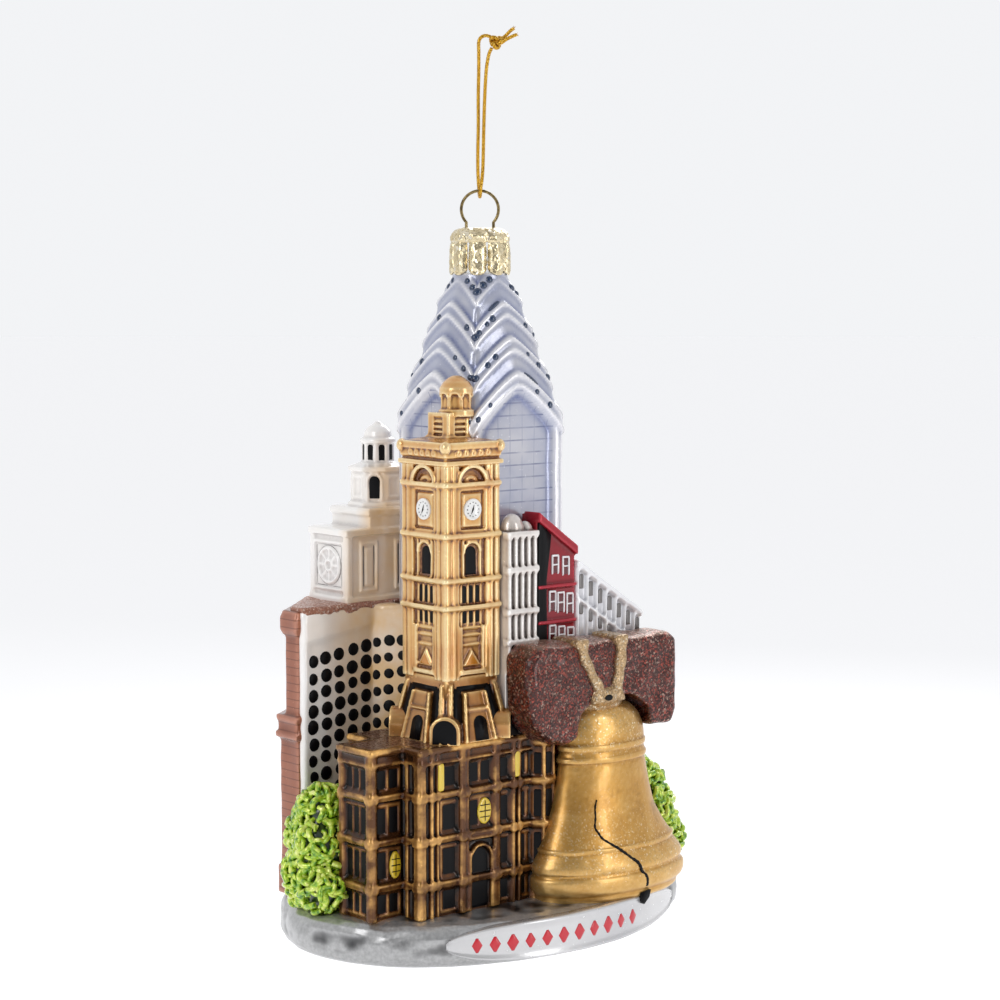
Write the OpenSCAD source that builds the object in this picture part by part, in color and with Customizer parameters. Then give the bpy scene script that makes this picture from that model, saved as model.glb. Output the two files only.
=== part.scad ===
// Blown-glass city-skyline ornament on a gold cord.
// The blown body is one glass shell; its nodes are the moulded forms that it is made of.
// Millimetres, +Z up. The origin is where a hook holds the cord, at the top of its eye.

/* [Glass] */
// Wall of the blown glass
glass_wall = 1; // [0.8:0.1:1.8]
// Angle between the street grid and the front view
grid_turn = 40; // [30:1:50]
// Height from the foot to the top of the cap
body_h = 141; // [130:1:170]

/* [Base] */
// Half length of the base at its foot
base_a = 44.5; // [44:0.5:54]
// Half width of the base at its foot
base_b = 32.5; // [32:0.5:38]
// Height of the base
base_h = 8.5; // [6:0.5:11]
// How far the base bulges past its foot
base_bulge = 2; // [1:0.5:3]

/* [Skyscraper] */
// Half side of the square shaft
sky_half = 12; // [11:0.5:13]
// Height of the crown, from the eaves of its lowest gables to the neck
crown_h = 36; // [32:1:40]
// Number of gable tiers
sky_tiers = 5; // [4:1:6]

/* [Clock tower] */
// Side of the square tower
tower_w = 13.3; // [12:0.1:14]
// Height of the top of the tower shaft
tower_z = 95.4; // [90:0.2:98]
// Radius of a clock dial
dial_r = 2.1; // [1.5:0.1:2.6]

/* [Hall] */
// Height of the hall's walls
hall_z = 40.7; // [36:0.1:44]
// Thickness of the flat roof slab
roof_t = 1; // [0.8:0.1:1.5]

/* [Bell] */
// Half length of the bell's lip, along the street front
bell_a = 18.7; // [15:0.1:19]
// Half depth of the bell's lip
bell_b = 9.5; // [8.5:0.1:11]
// Height of the bell
bell_h = 39; // [34:0.5:41]
// Thickness of the yoke
yoke_t = 7.5; // [6:0.5:9]

/* [Neck and cap] */
// Outside radius of the glass neck
neck_r = 5; // [4.6:0.1:5.5]
// Radial clearance of the cap on the neck
cap_clearance = 0.3; // [0.2:0.05:0.5]
// Wall of the metal cap
cap_wall = 0.9; // [0.6:0.1:1.2]
// Height of the cap
cap_h = 9.4; // [8:0.1:11]

/* [Hanger] */
// Mean radius of the wire ring
ring_r = 3.7; // [3.3:0.1:4.5]
// Radius of the hanger wire
wire_r = 0.4; // [0.3:0.05:0.5]
// Half distance between the wire's two legs
leg_x = 2.7; // [2.4:0.1:2.9]
// Radial clearance of the wire in the cap's holes
hole_clearance = 0.15; // [0.1:0.05:0.25]
// Length of the wire's legs below the top of the cap
leg_depth = 13; // [8:1:16]

/* [Cord] */
// Diameter of the metallic cord
cord_d = 0.7; // [0.6:0.1:0.9]
// Radius of the knot
knot_r = 1.25; // [1:0.05:1.5]

/* [Hidden] */
$fn = 48;

// Further out than any part of the glass.
far = 60;

// The eye of the cord, measured from the neck's axis and the foot.
eye_x = 1.2;
eye_above_cap = 36.3;
eye_r = 1.4;
hang_x = eye_x;
hang_z = body_h + eye_above_cap + eye_r - cord_d / 2;

// Base, an oval set off-centre under the neck.
base_mid = [4.2, 4.6];
base_turn = 7;
base_sides = 64;
foot_edge_h = 2.5;
top_edge_h = 1.5;
banner_t = 0.9;
banner_gap = 1.2;
banner_x0 = -26;
banner_x1 = 30;

// Gable tiers of the skyscraper, hung from the neck so that a taller body only gets a taller shaft.
tier_shrink = 1.7;
tier_step = 7;
tier_rise = 14;
tier_rise_loss = 0.12;
neck_drop = 9;
crown_top_z = body_h - neck_drop;
crown_core_h = 9;
sky_eave_z = crown_top_z - crown_h;

// Clock tower, set against the near corner of the skyscraper.
tower_mid = [-sky_half - 2.1, 3.9 - sky_half];
tower_foot_z = 53.7;
cornice_h = 3.8;
cornice_out = 0.7;
louvre_half = 3.2;
shoulder_h = 2.6;
louvre_h = 3.2;
tower_dome_r = 3.2;
tower_dome_h = 7.3;
dial_t = 0.4;
dial_z = 86.7;
buttress_half = 8.8;
overcut = 0.01;

// Hall.
hall_x0 = -29;
hall_x1 = 1;
hall_front_gap = 0.1;
hall_front_y = tower_mid[1] - buttress_half - hall_front_gap;
hall_gap = 0.7;
hall_back_y = sky_half + hall_gap;
wing_x0 = -37;
wing_y0 = -12;
wing_y1 = -2;
roof_z = hall_z + roof_t;

// Tall block with its panel of dots, and the steeple on its roof.
block_x0 = -34.6;
block_gap = 1.4;
block_y0 = sky_half + block_gap;
block_y1 = 28;
block_chamfer = [4.6, 5.5];
block_z = 66;
panel_t = 0.6;
panel_side = 0.4;
panel_gap = 0.2;
panel_foot = 2;
panel_drop = 2.5;
brick_t = 0.8;
brick_drop = 1;
steeple_mid = [-10.5, 20];
steeple_x0 = -23.4;
steeple_x1 = -3;
steeple_y1 = 26.5;
tier_half = 7;
steeple_z1 = 81;
steeple_tier_z = 85;
drum_r = 6.6;
drum_z = 93;
lantern_r = 3.2;
lantern_z = 98.5;
steeple_dome_r = 3;

// Row of houses behind the bell.
house_front_y = hall_front_y;
column_house_z = 83;
column_house_x0 = tower_mid[0] + tower_w / 2 + 0.25;
column_foot_x0 = tower_mid[0] + buttress_half + 0.5;
red_x1 = 11;
red_z0 = 85.3;
red_z1 = 78;
terrace_x1 = 29;
terrace_y1 = -4;
terrace_z0 = 75.4;
terrace_z1 = 63.5;

// Bell and yoke, on the street front.
bell_mid = [15, house_front_y - 3];
yoke_z0 = 41;
yoke_z1 = 60;
yoke_x0 = -7.5;
yoke_x1 = 32;
crown_gap = 0.4;
strap_t = 0.8;
straps = [[7, 12.2], [13.4, 18]];

// Balls of foliage, each [x, y, z, radius], and the heights that they are cut off at.
left_balls = [[-35.5, 7, 14, 6], [-36, 4, 20, 5.4], [-35, 8.5, 22, 5.2], [-34.5, 6, 26, 5]];
left_top_z = 32;
right_balls = [[31, -10.2, 15, 6.6], [31.6, -9.4, 21.5, 6.1], [31.2, -9.9, 26.5, 5.7]];
right_top_z = 34;
bush_reach = 44;

// Neck, cap and wire.
neck_h = 7.3;
neck_bore = neck_r - 0.9;
cap_bore = neck_r + cap_clearance;
cap_r = cap_bore + cap_wall;
cap_z0 = body_h - cap_h;
ring_z = body_h + 3.6;
kink_share = 1.02;
leg_top_z = ring_z - sqrt(ring_r * ring_r - leg_x * leg_x);

// The cord's route, from the neck's axis and from the top of the cap: out of the knot, round the
// hook, down, through the ring, up again and back into the knot.
cord_points = [
  [3.1, 0.1, 36.5], [2.5, 0, 37.2], [1.8, 0, 37.6], [1.0, 0, 37.7], [0.2, 0, 37.3], [-0.2, 0, 36.4],
  [-0.2, 0.1, 34.5], [-0.2, 0.2, 31], [-0.3, 0.3, 26], [-0.3, 0.5, 20], [-0.4, 0.8, 15], [-0.4, 1.2, 11.5],
  [-0.3, 1.6, 9.2], [-0.2, 1.7, 7.8], [-0.1, 1.2, 6.6], [0, 0, 6.1], [0.1, -1.2, 6.6], [0.2, -1.7, 7.8],
  [0.4, -1.6, 9.2], [0.6, -1.2, 11.5], [0.7, -0.8, 15], [0.8, -0.5, 20], [1.0, -0.3, 26], [1.3, -0.2, 31],
  [1.8, -0.1, 34], [2.4, 0, 35.3]
];
tail_points_a = [[4.1, 0.1, 37.0], [5.0, 0.2, 37.6], [6.0, 0.1, 38.6], [6.8, 0, 39.2]];
tail_points_b = [[4.1, -0.3, 36.2], [5.2, -0.5, 36.9], [6.4, -0.6, 37.5], [7.4, -0.7, 37.9]];
knot_point = [3.3, 0, 36.5];
cord_sides = 8;

// ---- frames ----------------------------------------------------------------

// Puts a shape that is measured from the neck's axis and the foot into the part's own frame.
module hung() {
  translate([-hang_x, 0, -hang_z])
    children();
}

// The same for a shape on the street grid.
module on_grid() {
  hung()
    rotate([0, 0, grid_turn])
      children();
}

// Puts a shape that is measured from the top of the cap into the part's own frame.
module above_cap() {
  hung()
    translate([0, 0, body_h])
      children();
}

// ---- shared shapes -----------------------------------------------------------

// Box between two corners.
module box_between(low, high) {
  translate(low)
    cube(high - low);
}

// Moulded box of blown glass: closed above, open below where it joins the glass under it.
module glass_box(low, high) {
  difference() {
    box_between(low, high);
    box_between(
      [low[0] + glass_wall, low[1] + glass_wall, low[2] - 1],
      [high[0] - glass_wall, high[1] - glass_wall, high[2] - glass_wall]
    );
  }
}

// Upright slab whose outline lies in X and Z, between two Y planes.
module street_slab(outline, y0, y1) {
  translate([0, y1, 0])
    rotate([90, 0, 0])
      linear_extrude(y1 - y0)
        polygon(outline);
}

// The same slab blown hollow, open at the back and below.
module glass_slab(outline, inner, y0, y1) {
  difference() {
    street_slab(outline, y0, y1);
    street_slab(inner, y0 + glass_wall, y1 + 1);
  }
}

// Room that the skyscraper takes, cut from what stands round it.
module skyscraper_room() {
  box_between([-sky_half, -sky_half, base_h - 1], [sky_half, sky_half, body_h]);
}

// Room that only the skyscraper's shaft takes.
module shaft_room() {
  box_between([-sky_half, -sky_half, base_h], [sky_half, sky_half, sky_eave_z]);
}

// Oval with half axes a and b.
module oval(a, b) {
  polygon([for (i = [0:base_sides - 1]) [a * cos(360 * i / base_sides), b * sin(360 * i / base_sides)]]);
}

// Square block with a gable on each side: eaves at its corners, peaks at mid-face.
module cross_gable(half, z0, eave, peak) {
  outline = [[-half, z0], [half, z0], [half, eave], [0, peak], [-half, eave]];
  street_slab(outline, -half, half);
  rotate([0, 0, 90])
    street_slab(outline, -half, half);
}

function unit(v) = v / norm(v);

// Direction of travel at point i of a route.
function heading(p, i) = unit(p[min(i + 1, len(p) - 1)] - p[max(i - 1, 0)]);

// A side vector square to the travel, taken from X, or from Z where the travel is along X.
function side_of(t) = unit(cross(t, abs(t[0]) > 0.9 ? [0, 0, 1] : [1, 0, 0]));

// Points of the ring of the tube at point i.
function tube_ring(p, i, r) =
  let (t = heading(p, i), s = side_of(t), n = cross(t, s))
  [for (k = [0:cord_sides - 1]) p[i] + r * (cos(360 * k / cord_sides) * s + sin(360 * k / cord_sides) * n)];

// Smooth route through the chosen points, with a few steps between each pair.
function spline_at(a, b, c, d, t) =
  0.5 * (2 * b + (c - a) * t + (2 * a - 5 * b + 4 * c - d) * t * t + (3 * b - a - 3 * c + d) * t * t * t);
function smooth(p, steps) = [
  for (i = [0:len(p) - 2])
    for (k = [0:steps - 1])
      spline_at(p[max(i - 1, 0)], p[i], p[i + 1], p[min(i + 2, len(p) - 1)], k / steps),
  p[len(p) - 1]
];

// Tube swept along a route.
module tube(points, r, steps) {
  p = smooth(points, steps);
  n = len(p);
  m = cord_sides;
  polyhedron(
    points = [for (i = [0:n - 1]) each tube_ring(p, i, r)],
    faces = concat(
      [[for (k = [0:m - 1]) m - 1 - k]],
      [for (i = [0:n - 2]) for (k = [0:m - 1]) [i * m + k, i * m + (k + 1) % m, (i + 1) * m + (k + 1) % m]],
      [for (i = [0:n - 2]) for (k = [0:m - 1]) [i * m + k, (i + 1) * m + (k + 1) % m, (i + 1) * m + k]],
      [[for (k = [0:m - 1]) (n - 1) * m + k]]
    )
  );
}

// ---- base --------------------------------------------------------------------

module base_place() {
  translate([base_mid[0], base_mid[1], 0])
    rotate([0, 0, base_turn])
      children();
}

module base_form(inset) {
  a = base_a + base_bulge - inset;
  b = base_b + base_bulge - inset;
  base_place() {
    translate([0, 0, foot_edge_h])
      mirror([0, 0, 1])
        linear_extrude(foot_edge_h - inset, scale = base_a / (base_a + base_bulge))
          oval(a, b);
    translate([0, 0, foot_edge_h])
      linear_extrude(base_h - foot_edge_h - top_edge_h)
        oval(a, b);
    translate([0, 0, base_h - top_edge_h])
      linear_extrude(top_edge_h - inset, scale = base_a / (base_a + base_bulge))
        oval(a, b);
  }
}

module base() {
  color("slategray")
    on_grid()
      difference() {
        base_form(0);
        base_form(glass_wall);
      }
}

// Raised plaque on the street side of the base, left without any lettering.
module banner() {
  color("whitesmoke")
    on_grid()
      difference() {
        intersection() {
          base_place()
            translate([0, 0, banner_gap])
              linear_extrude(base_h - 2 * banner_gap)
                oval(base_a + base_bulge + banner_t, base_b + base_bulge + banner_t);
          box_between([banner_x0, -far, 0], [banner_x1, 0, base_h]);
        }
        base_place()
          linear_extrude(base_h)
            oval(base_a + base_bulge, base_b + base_bulge);
      }
}

// ---- skyscraper ----------------------------------------------------------------

module skyscraper_shaft() {
  color("lavender")
    on_grid()
      difference() {
        box_between([-sky_half, -sky_half, base_h], [sky_half, sky_half, sky_eave_z]);
        box_between(
          [glass_wall - sky_half, glass_wall - sky_half, base_h - 1],
          [sky_half - glass_wall, sky_half - glass_wall, sky_eave_z + 1]
        );
      }
}

module tier(i, inset, z0) {
  half = sky_half - i * tier_shrink - inset;
  eave = sky_eave_z + i * tier_step - inset;
  cross_gable(half, z0, eave, eave + tier_rise * (1 - tier_rise_loss * i));
}

module skyscraper_crown() {
  color("lightsteelblue")
    on_grid()
      difference() {
        union() {
          for (i = [0:sky_tiers - 1]) {
            tier(i, 0, sky_eave_z);
          }
          translate([0, 0, crown_top_z - crown_core_h])
            cylinder(h = crown_core_h, r = neck_r);
        }
        for (i = [0:sky_tiers - 1]) {
          tier(i, glass_wall, sky_eave_z - 1);
        }
        box_between([-sky_half, -sky_half, crown_top_z], [sky_half, sky_half, crown_top_z + 20]);
        cylinder(h = body_h, r = neck_bore);
      }
}

module neck() {
  color("aliceblue")
    hung()
      translate([0, 0, crown_top_z])
        difference() {
          cylinder(h = neck_h, r = neck_r);
          translate([0, 0, -1])
            cylinder(h = neck_h + 2, r = neck_bore);
        }
}

// ---- clock tower ---------------------------------------------------------------

// Corners of a square block round the tower's axis.
function tower_low(half, z) = [tower_mid[0] - half, tower_mid[1] - half, z];
function tower_high(half, z) = [tower_mid[0] + half, tower_mid[1] + half, z];

// Tapered block round the tower's axis.
module tower_taper(half0, half1, z0, z1) {
  translate([tower_mid[0], tower_mid[1], z0])
    linear_extrude(z1 - z0, scale = half1 / half0)
      square(2 * half0, center = true);
}

module clock_tower_shaft() {
  color("khaki")
    on_grid()
      difference() {
        box_between(tower_low(tower_w / 2, tower_foot_z), tower_high(tower_w / 2, tower_z));
        box_between(
          tower_low(tower_w / 2 - glass_wall, tower_foot_z - 1),
          tower_high(tower_w / 2 - glass_wall, tower_z - glass_wall)
        );
        skyscraper_room();
      }
}

module clock_tower_belfry() {
  half = tower_w / 2 + cornice_out;
  color("burlywood")
    on_grid()
      difference() {
        union() {
          box_between(tower_low(half, tower_z), tower_high(half, tower_z + cornice_h));
          tower_taper(tower_w / 2, louvre_half, tower_z + cornice_h, tower_z + cornice_h + shoulder_h);
          box_between(
            tower_low(louvre_half, tower_z + cornice_h),
            tower_high(louvre_half, tower_z + cornice_h + shoulder_h + louvre_h)
          );
        }
        box_between(
          tower_low(louvre_half - glass_wall, tower_z - 1),
          tower_high(louvre_half - glass_wall, tower_z + cornice_h + shoulder_h + louvre_h - glass_wall)
        );
        box_between(
          tower_low(half - glass_wall, tower_z - 1),
          tower_high(half - glass_wall, tower_z + cornice_h - glass_wall)
        );
        skyscraper_room();
      }
}

module clock_tower_dome() {
  z0 = tower_z + cornice_h + shoulder_h + louvre_h;
  drum_h = tower_dome_h - tower_dome_r;
  color("moccasin")
    on_grid()
      difference() {
        translate([tower_mid[0], tower_mid[1], z0])
          difference() {
            union() {
              cylinder(h = drum_h, r = tower_dome_r);
              intersection() {
                translate([0, 0, drum_h])
                  sphere(r = tower_dome_r);
                cylinder(h = tower_dome_h, r = tower_dome_r);
              }
            }
            translate([0, 0, -1])
              cylinder(h = drum_h + 1, r = tower_dome_r - glass_wall);
          }
        shaft_room();
      }
}

module dial() {
  cylinder(h = dial_t, r = dial_r);
}

module clock_dials() {
  color("ivory")
    on_grid() {
      translate([tower_mid[0], tower_mid[1] - tower_w / 2, dial_z])
        rotate([90, 0, 0])
          dial();
      translate([tower_mid[0] - tower_w / 2, tower_mid[1], dial_z])
        rotate([0, -90, 0])
          dial();
    }
}

module tower_buttresses() {
  color("peru")
    on_grid()
      difference() {
        tower_taper(buttress_half, tower_w / 2, roof_z, tower_foot_z);
        tower_taper(
          buttress_half - glass_wall,
          tower_w / 2 - glass_wall,
          roof_z - overcut,
          tower_foot_z + overcut
        );
        skyscraper_room();
      }
}

// ---- hall ----------------------------------------------------------------------

module hall_pavilion() {
  color("saddlebrown")
    on_grid()
      difference() {
        glass_box([hall_x0, hall_front_y, base_h], [hall_x1, hall_back_y, hall_z]);
        skyscraper_room();
      }
}

module hall_wing() {
  color("sienna")
    on_grid()
      glass_box([wing_x0, wing_y0, base_h], [hall_x0, wing_y1, hall_z]);
}

module hall_roof() {
  color("brown")
    on_grid()
      difference() {
        union() {
          box_between([hall_x0, hall_front_y, hall_z], [hall_x1, hall_back_y, roof_z]);
          box_between([wing_x0, wing_y0, hall_z], [hall_x0, wing_y1, roof_z]);
        }
        box_between(
          tower_low(tower_w / 2 - glass_wall, hall_z - 1),
          tower_high(tower_w / 2 - glass_wall, roof_z + 1)
        );
        skyscraper_room();
      }
}

// ---- steeple -------------------------------------------------------------------

module steeple_block() {
  color("white")
    on_grid() {
      glass_box([steeple_x0, block_y0, block_z], [steeple_x1, steeple_y1, steeple_z1]);
      box_between(
        [steeple_mid[0] - tier_half, block_y0, steeple_z1],
        [steeple_mid[0] + tier_half, steeple_y1, steeple_tier_z]
      );
    }
}

module steeple_drum() {
  color("seashell")
    on_grid()
      translate([steeple_mid[0], steeple_mid[1], steeple_tier_z])
        rotate([0, 0, 22.5])
          difference() {
            cylinder(h = drum_z - steeple_tier_z, r = drum_r, $fn = 8);
            translate([0, 0, -1])
              cylinder(h = drum_z - steeple_tier_z + 1 - glass_wall, r = drum_r - glass_wall, $fn = 8);
          }
}

module steeple_lantern() {
  color("snow")
    on_grid()
      translate([steeple_mid[0], steeple_mid[1], drum_z])
        difference() {
          cylinder(h = lantern_z - drum_z, r = lantern_r);
          translate([0, 0, -1])
            cylinder(h = lantern_z - drum_z + 1 - glass_wall, r = lantern_r - glass_wall);
        }
}

module steeple_dome() {
  color("ghostwhite")
    on_grid()
      translate([steeple_mid[0], steeple_mid[1], lantern_z])
        intersection() {
          sphere(r = steeple_dome_r);
          cylinder(h = steeple_dome_r + 1, r = steeple_dome_r + 1);
        }
}

// ---- tall block ----------------------------------------------------------------

// Plan of the tall block, drawn in by a margin.
module block_plan(margin) {
  polygon([
    [block_x0 + margin, block_y0 + margin], [sky_half - margin, block_y0 + margin],
    [sky_half - margin, block_y1 - margin], [block_x0 + block_chamfer[0] + margin / 2, block_y1 - margin],
    [block_x0 + margin, block_y1 - block_chamfer[1] - margin / 2]
  ]);
}

module window_block() {
  color("gainsboro")
    on_grid()
      difference() {
        translate([0, 0, base_h])
          linear_extrude(block_z - base_h)
            block_plan(0);
        translate([0, 0, base_h - 1])
          linear_extrude(block_z - base_h + 1 - glass_wall)
            block_plan(glass_wall);
      }
}

module window_panel() {
  color("white")
    on_grid()
      box_between(
        [block_x0 + panel_side, block_y0 - panel_t, base_h + panel_foot],
        [-sky_half - panel_gap, block_y0, block_z - panel_drop]
      );
}

// Brick facing on the left end of the tall block and on its chamfer.
module brick_wall() {
  x = block_x0;
  y = block_y1 - block_chamfer[1];
  outset = brick_t * 0.75;
  outline = [
    [x, block_y0], [x, y], [x + block_chamfer[0], block_y1],
    [x + block_chamfer[0] - outset, block_y1 + outset], [x - brick_t, y + brick_t / 2], [x - brick_t, block_y0]
  ];
  color("sienna")
    on_grid()
      translate([0, 0, base_h])
        linear_extrude(block_z - brick_drop - base_h)
          polygon(outline);
}

// ---- houses --------------------------------------------------------------------

module column_house() {
  outline = [
    [column_foot_x0, roof_z], [hall_x1, roof_z], [hall_x1, column_house_z], [column_house_x0, column_house_z],
    [column_house_x0, tower_foot_z], [column_foot_x0, tower_foot_z]
  ];
  color("whitesmoke")
    on_grid()
      street_slab(outline, house_front_y, -sky_half);
}

module red_house() {
  outline = [[hall_x1, base_h], [red_x1, base_h], [red_x1, red_z1], [hall_x1, red_z0]];
  inner = [
    [hall_x1 + glass_wall, base_h - 1], [red_x1 - glass_wall, base_h - 1],
    [red_x1 - glass_wall, red_z1 - glass_wall], [hall_x1 + glass_wall, red_z0 - 2 * glass_wall]
  ];
  color("darkred")
    on_grid()
      glass_slab(outline, inner, house_front_y, -sky_half);
}

module white_terrace() {
  outline = [[red_x1, base_h], [terrace_x1, base_h], [terrace_x1, terrace_z1], [red_x1, terrace_z0]];
  inner = [
    [red_x1 + glass_wall, base_h - 1], [terrace_x1 - glass_wall, base_h - 1],
    [terrace_x1 - glass_wall, terrace_z1 - 2 * glass_wall], [red_x1 + glass_wall, terrace_z0 - 2 * glass_wall]
  ];
  color("gainsboro")
    on_grid()
      difference() {
        street_slab(outline, house_front_y, terrace_y1);
        street_slab(inner, house_front_y + glass_wall, terrace_y1 - glass_wall);
        skyscraper_room();
      }
}

// ---- bell ----------------------------------------------------------------------

// Outline of the bell as shares of its lip radius and its height, from the axis out and up.
bell_profile = [
  [0.80, 0], [1.0, 0.09], [0.97, 0.2], [0.79, 0.33], [0.65, 0.48], [0.56, 0.66], [0.54, 0.75], [0.50, 0.86],
  [0.37, 0.95], [0.2, 1.0]
];

module bell_form(r, h) {
  rotate_extrude()
    polygon(concat([[0, 0]], [for (p = bell_profile) [p[0] * r, p[1] * h]], [[0, h]]));
}

module bell() {
  color("goldenrod")
    on_grid()
      intersection() {
        translate([bell_mid[0], bell_mid[1], base_h])
          scale([bell_a / bell_b, 1, 1])
            difference() {
              bell_form(bell_b, bell_h);
              translate([0, 0, -overcut])
                bell_form(bell_b - glass_wall, bell_h - glass_wall);
            }
        box_between([-far, -far, 0], [far, house_front_y, body_h]);
      }
}

module yoke() {
  mid = bell_mid[0];
  crown = bell_a * 0.5 + crown_gap;
  top = base_h + bell_h + crown_gap;
  outline = [
    [yoke_x0, yoke_z0 + 7], [yoke_x0 + 4, yoke_z0 + 1], [mid - crown - 3, yoke_z0 - 1], [mid - crown, yoke_z0],
    [mid - crown, top - 4], [mid - crown + 5, top], [mid + crown - 5, top], [mid + crown, top - 4],
    [mid + crown, yoke_z0 + 0.5], [yoke_x1, yoke_z0 + 0.5], [yoke_x1, yoke_z1], [yoke_x0, yoke_z1]
  ];
  color("brown")
    on_grid()
      street_slab(outline, house_front_y - yoke_t, house_front_y);
}

module yoke_straps() {
  y = house_front_y - yoke_t;
  color("darkgoldenrod")
    on_grid()
      for (s = straps) {
        box_between([s[0], y - strap_t, base_h + bell_h + crown_gap], [s[1], y, yoke_z1]);
      }
}

// ---- foliage -------------------------------------------------------------------

module foliage(balls) {
  for (b = balls) {
    translate([b[0], b[1], b[2]])
      sphere(r = b[3]);
  }
}

module bush_left() {
  color("yellowgreen")
    on_grid()
      intersection() {
        foliage(left_balls);
        box_between([-bush_reach, wing_y1, base_h], [hall_x0, block_y0 - panel_t, left_top_z]);
      }
}

module bush_right() {
  color("olivedrab")
    on_grid()
      intersection() {
        foliage(right_balls);
        box_between([terrace_x1, house_front_y, base_h], [bush_reach, -terrace_y1, right_top_z]);
      }
}

// ---- cap, wire and cord ----------------------------------------------------------

module cap() {
  r = cap_r;
  color("palegoldenrod")
    hung()
      difference() {
        translate([0, 0, cap_z0])
          rotate_extrude()
            polygon([
              [0, 0], [r, 0], [r, cap_h - 2.2], [r - 0.3, cap_h - 1.2], [r - 0.9, cap_h - 0.4], [r - 1.8, cap_h],
              [0, cap_h]
            ]);
        translate([0, 0, cap_z0 - 1])
          cylinder(h = cap_h + 1 - cap_wall, r = cap_bore);
        for (s = [-1, 1]) {
          translate([s * leg_x, 0, cap_z0])
            cylinder(h = cap_h + 1, r = wire_r + hole_clearance);
        }
      }
}

// Round wire: a ring that is open below, and two legs that go down through the cap.
module hanger_wire() {
  gap = asin(leg_x / ring_r);
  color("darkgoldenrod")
    hung() {
      translate([0, 0, ring_z])
        rotate([90, 0, 0])
          rotate([0, 0, gap - 90])
            rotate_extrude(angle = 360 - 2 * gap)
              translate([ring_r, 0])
                circle(r = wire_r);
      for (s = [-1, 1]) {
        translate([s * leg_x, 0, leg_top_z])
          sphere(r = wire_r * kink_share);
        translate([s * leg_x, 0, body_h - leg_depth])
          cylinder(h = leg_top_z - body_h + leg_depth, r = wire_r);
      }
    }
}

module cord_loop() {
  color("gold")
    above_cap()
      tube(cord_points, cord_d / 2, 3);
}

module cord_knot() {
  color("gold")
    above_cap()
      translate(knot_point)
        sphere(r = knot_r);
}

module cord_tails() {
  color("gold")
    above_cap() {
      tube(tail_points_a, cord_d / 2, 3);
      tube(tail_points_b, cord_d / 2, 3);
    }
}

base();
banner();
skyscraper_shaft();
skyscraper_crown();
neck();
clock_tower_shaft();
clock_tower_belfry();
clock_tower_dome();
clock_dials();
tower_buttresses();
hall_pavilion();
hall_wing();
hall_roof();
steeple_block();
steeple_drum();
steeple_lantern();
steeple_dome();
window_block();
window_panel();
brick_wall();
column_house();
red_house();
white_terrace();
yoke();
yoke_straps();
bell();
bush_left();
bush_right();
cap();
hanger_wire();
cord_loop();
cord_knot();
cord_tails();
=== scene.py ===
import math
import random

import bmesh
import bpy
import numpy as np
from mathutils import Matrix, Vector, noise


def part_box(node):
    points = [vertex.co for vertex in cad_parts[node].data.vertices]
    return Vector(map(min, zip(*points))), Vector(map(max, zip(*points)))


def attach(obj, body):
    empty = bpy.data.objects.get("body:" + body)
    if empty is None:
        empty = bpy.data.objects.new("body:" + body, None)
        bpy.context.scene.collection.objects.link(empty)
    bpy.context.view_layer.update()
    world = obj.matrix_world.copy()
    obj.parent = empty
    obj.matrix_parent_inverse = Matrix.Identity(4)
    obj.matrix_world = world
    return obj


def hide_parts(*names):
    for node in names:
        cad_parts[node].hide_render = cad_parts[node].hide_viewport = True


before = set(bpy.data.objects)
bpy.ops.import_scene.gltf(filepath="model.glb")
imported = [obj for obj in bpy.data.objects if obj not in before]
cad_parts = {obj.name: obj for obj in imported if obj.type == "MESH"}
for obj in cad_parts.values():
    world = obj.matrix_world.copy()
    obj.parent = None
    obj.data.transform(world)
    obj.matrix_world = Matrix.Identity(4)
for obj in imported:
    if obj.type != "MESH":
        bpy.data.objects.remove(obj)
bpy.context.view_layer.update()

# ---- Room: pale floor, soft studio light, camera ------------------------------------------
# The ornament hangs over a pale floor, in the light of two large soft boxes and a white room.
# Heights are counted from its foot, in millimetres, and X and Y from the axis of its neck.
MM = 0.001
neck_low, neck_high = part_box("neck")
axis_x = (neck_low.x + neck_high.x) / 2
foot_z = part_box("base")[0].z
ROW = Matrix.Translation((axis_x, 0, foot_z)) @ Matrix.Scale(MM, 4)

scene = bpy.context.scene
scene.view_settings.view_transform = "Standard"


def link(name, mesh):
    piece = bpy.data.objects.new(name, mesh)
    scene.collection.objects.link(piece)
    return piece


def soft_box(name, place, aim, size, power):
    lamp = bpy.data.lights.new(name, "AREA")
    lamp.shape = "RECTANGLE"
    lamp.size = size[0] * MM
    lamp.size_y = size[1] * MM
    lamp.energy = power
    holder = bpy.data.objects.new(name, lamp)
    scene.collection.objects.link(holder)
    holder.location = ROW @ Vector(place)
    holder.rotation_euler = (ROW @ Vector(aim) - holder.location).to_track_quat("-Z", "Y").to_euler()


EYE_HEIGHT = 133
EYE_DISTANCE = 500
EYE_PITCH = 5.3
camera_data = bpy.data.cameras.new("camera")
camera_data.lens = 90
camera_data.clip_start = 0.01
camera = bpy.data.objects.new("camera", camera_data)
scene.collection.objects.link(camera)
camera.location = ROW @ Vector((4, -EYE_DISTANCE, EYE_HEIGHT))
camera.rotation_euler = (math.radians(90 - EYE_PITCH), 0, 0)
scene.camera = camera

soft_box("key_light", (-330, -420, 330), (0, 0, 70), (240, 360), 0.95)
soft_box("fill_light", (430, -260, 160), (0, 0, 70), (120, 380), 0.55)
soft_box("back_light", (120, 420, 360), (0, 0, 90), (320, 240), 0.7)

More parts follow.
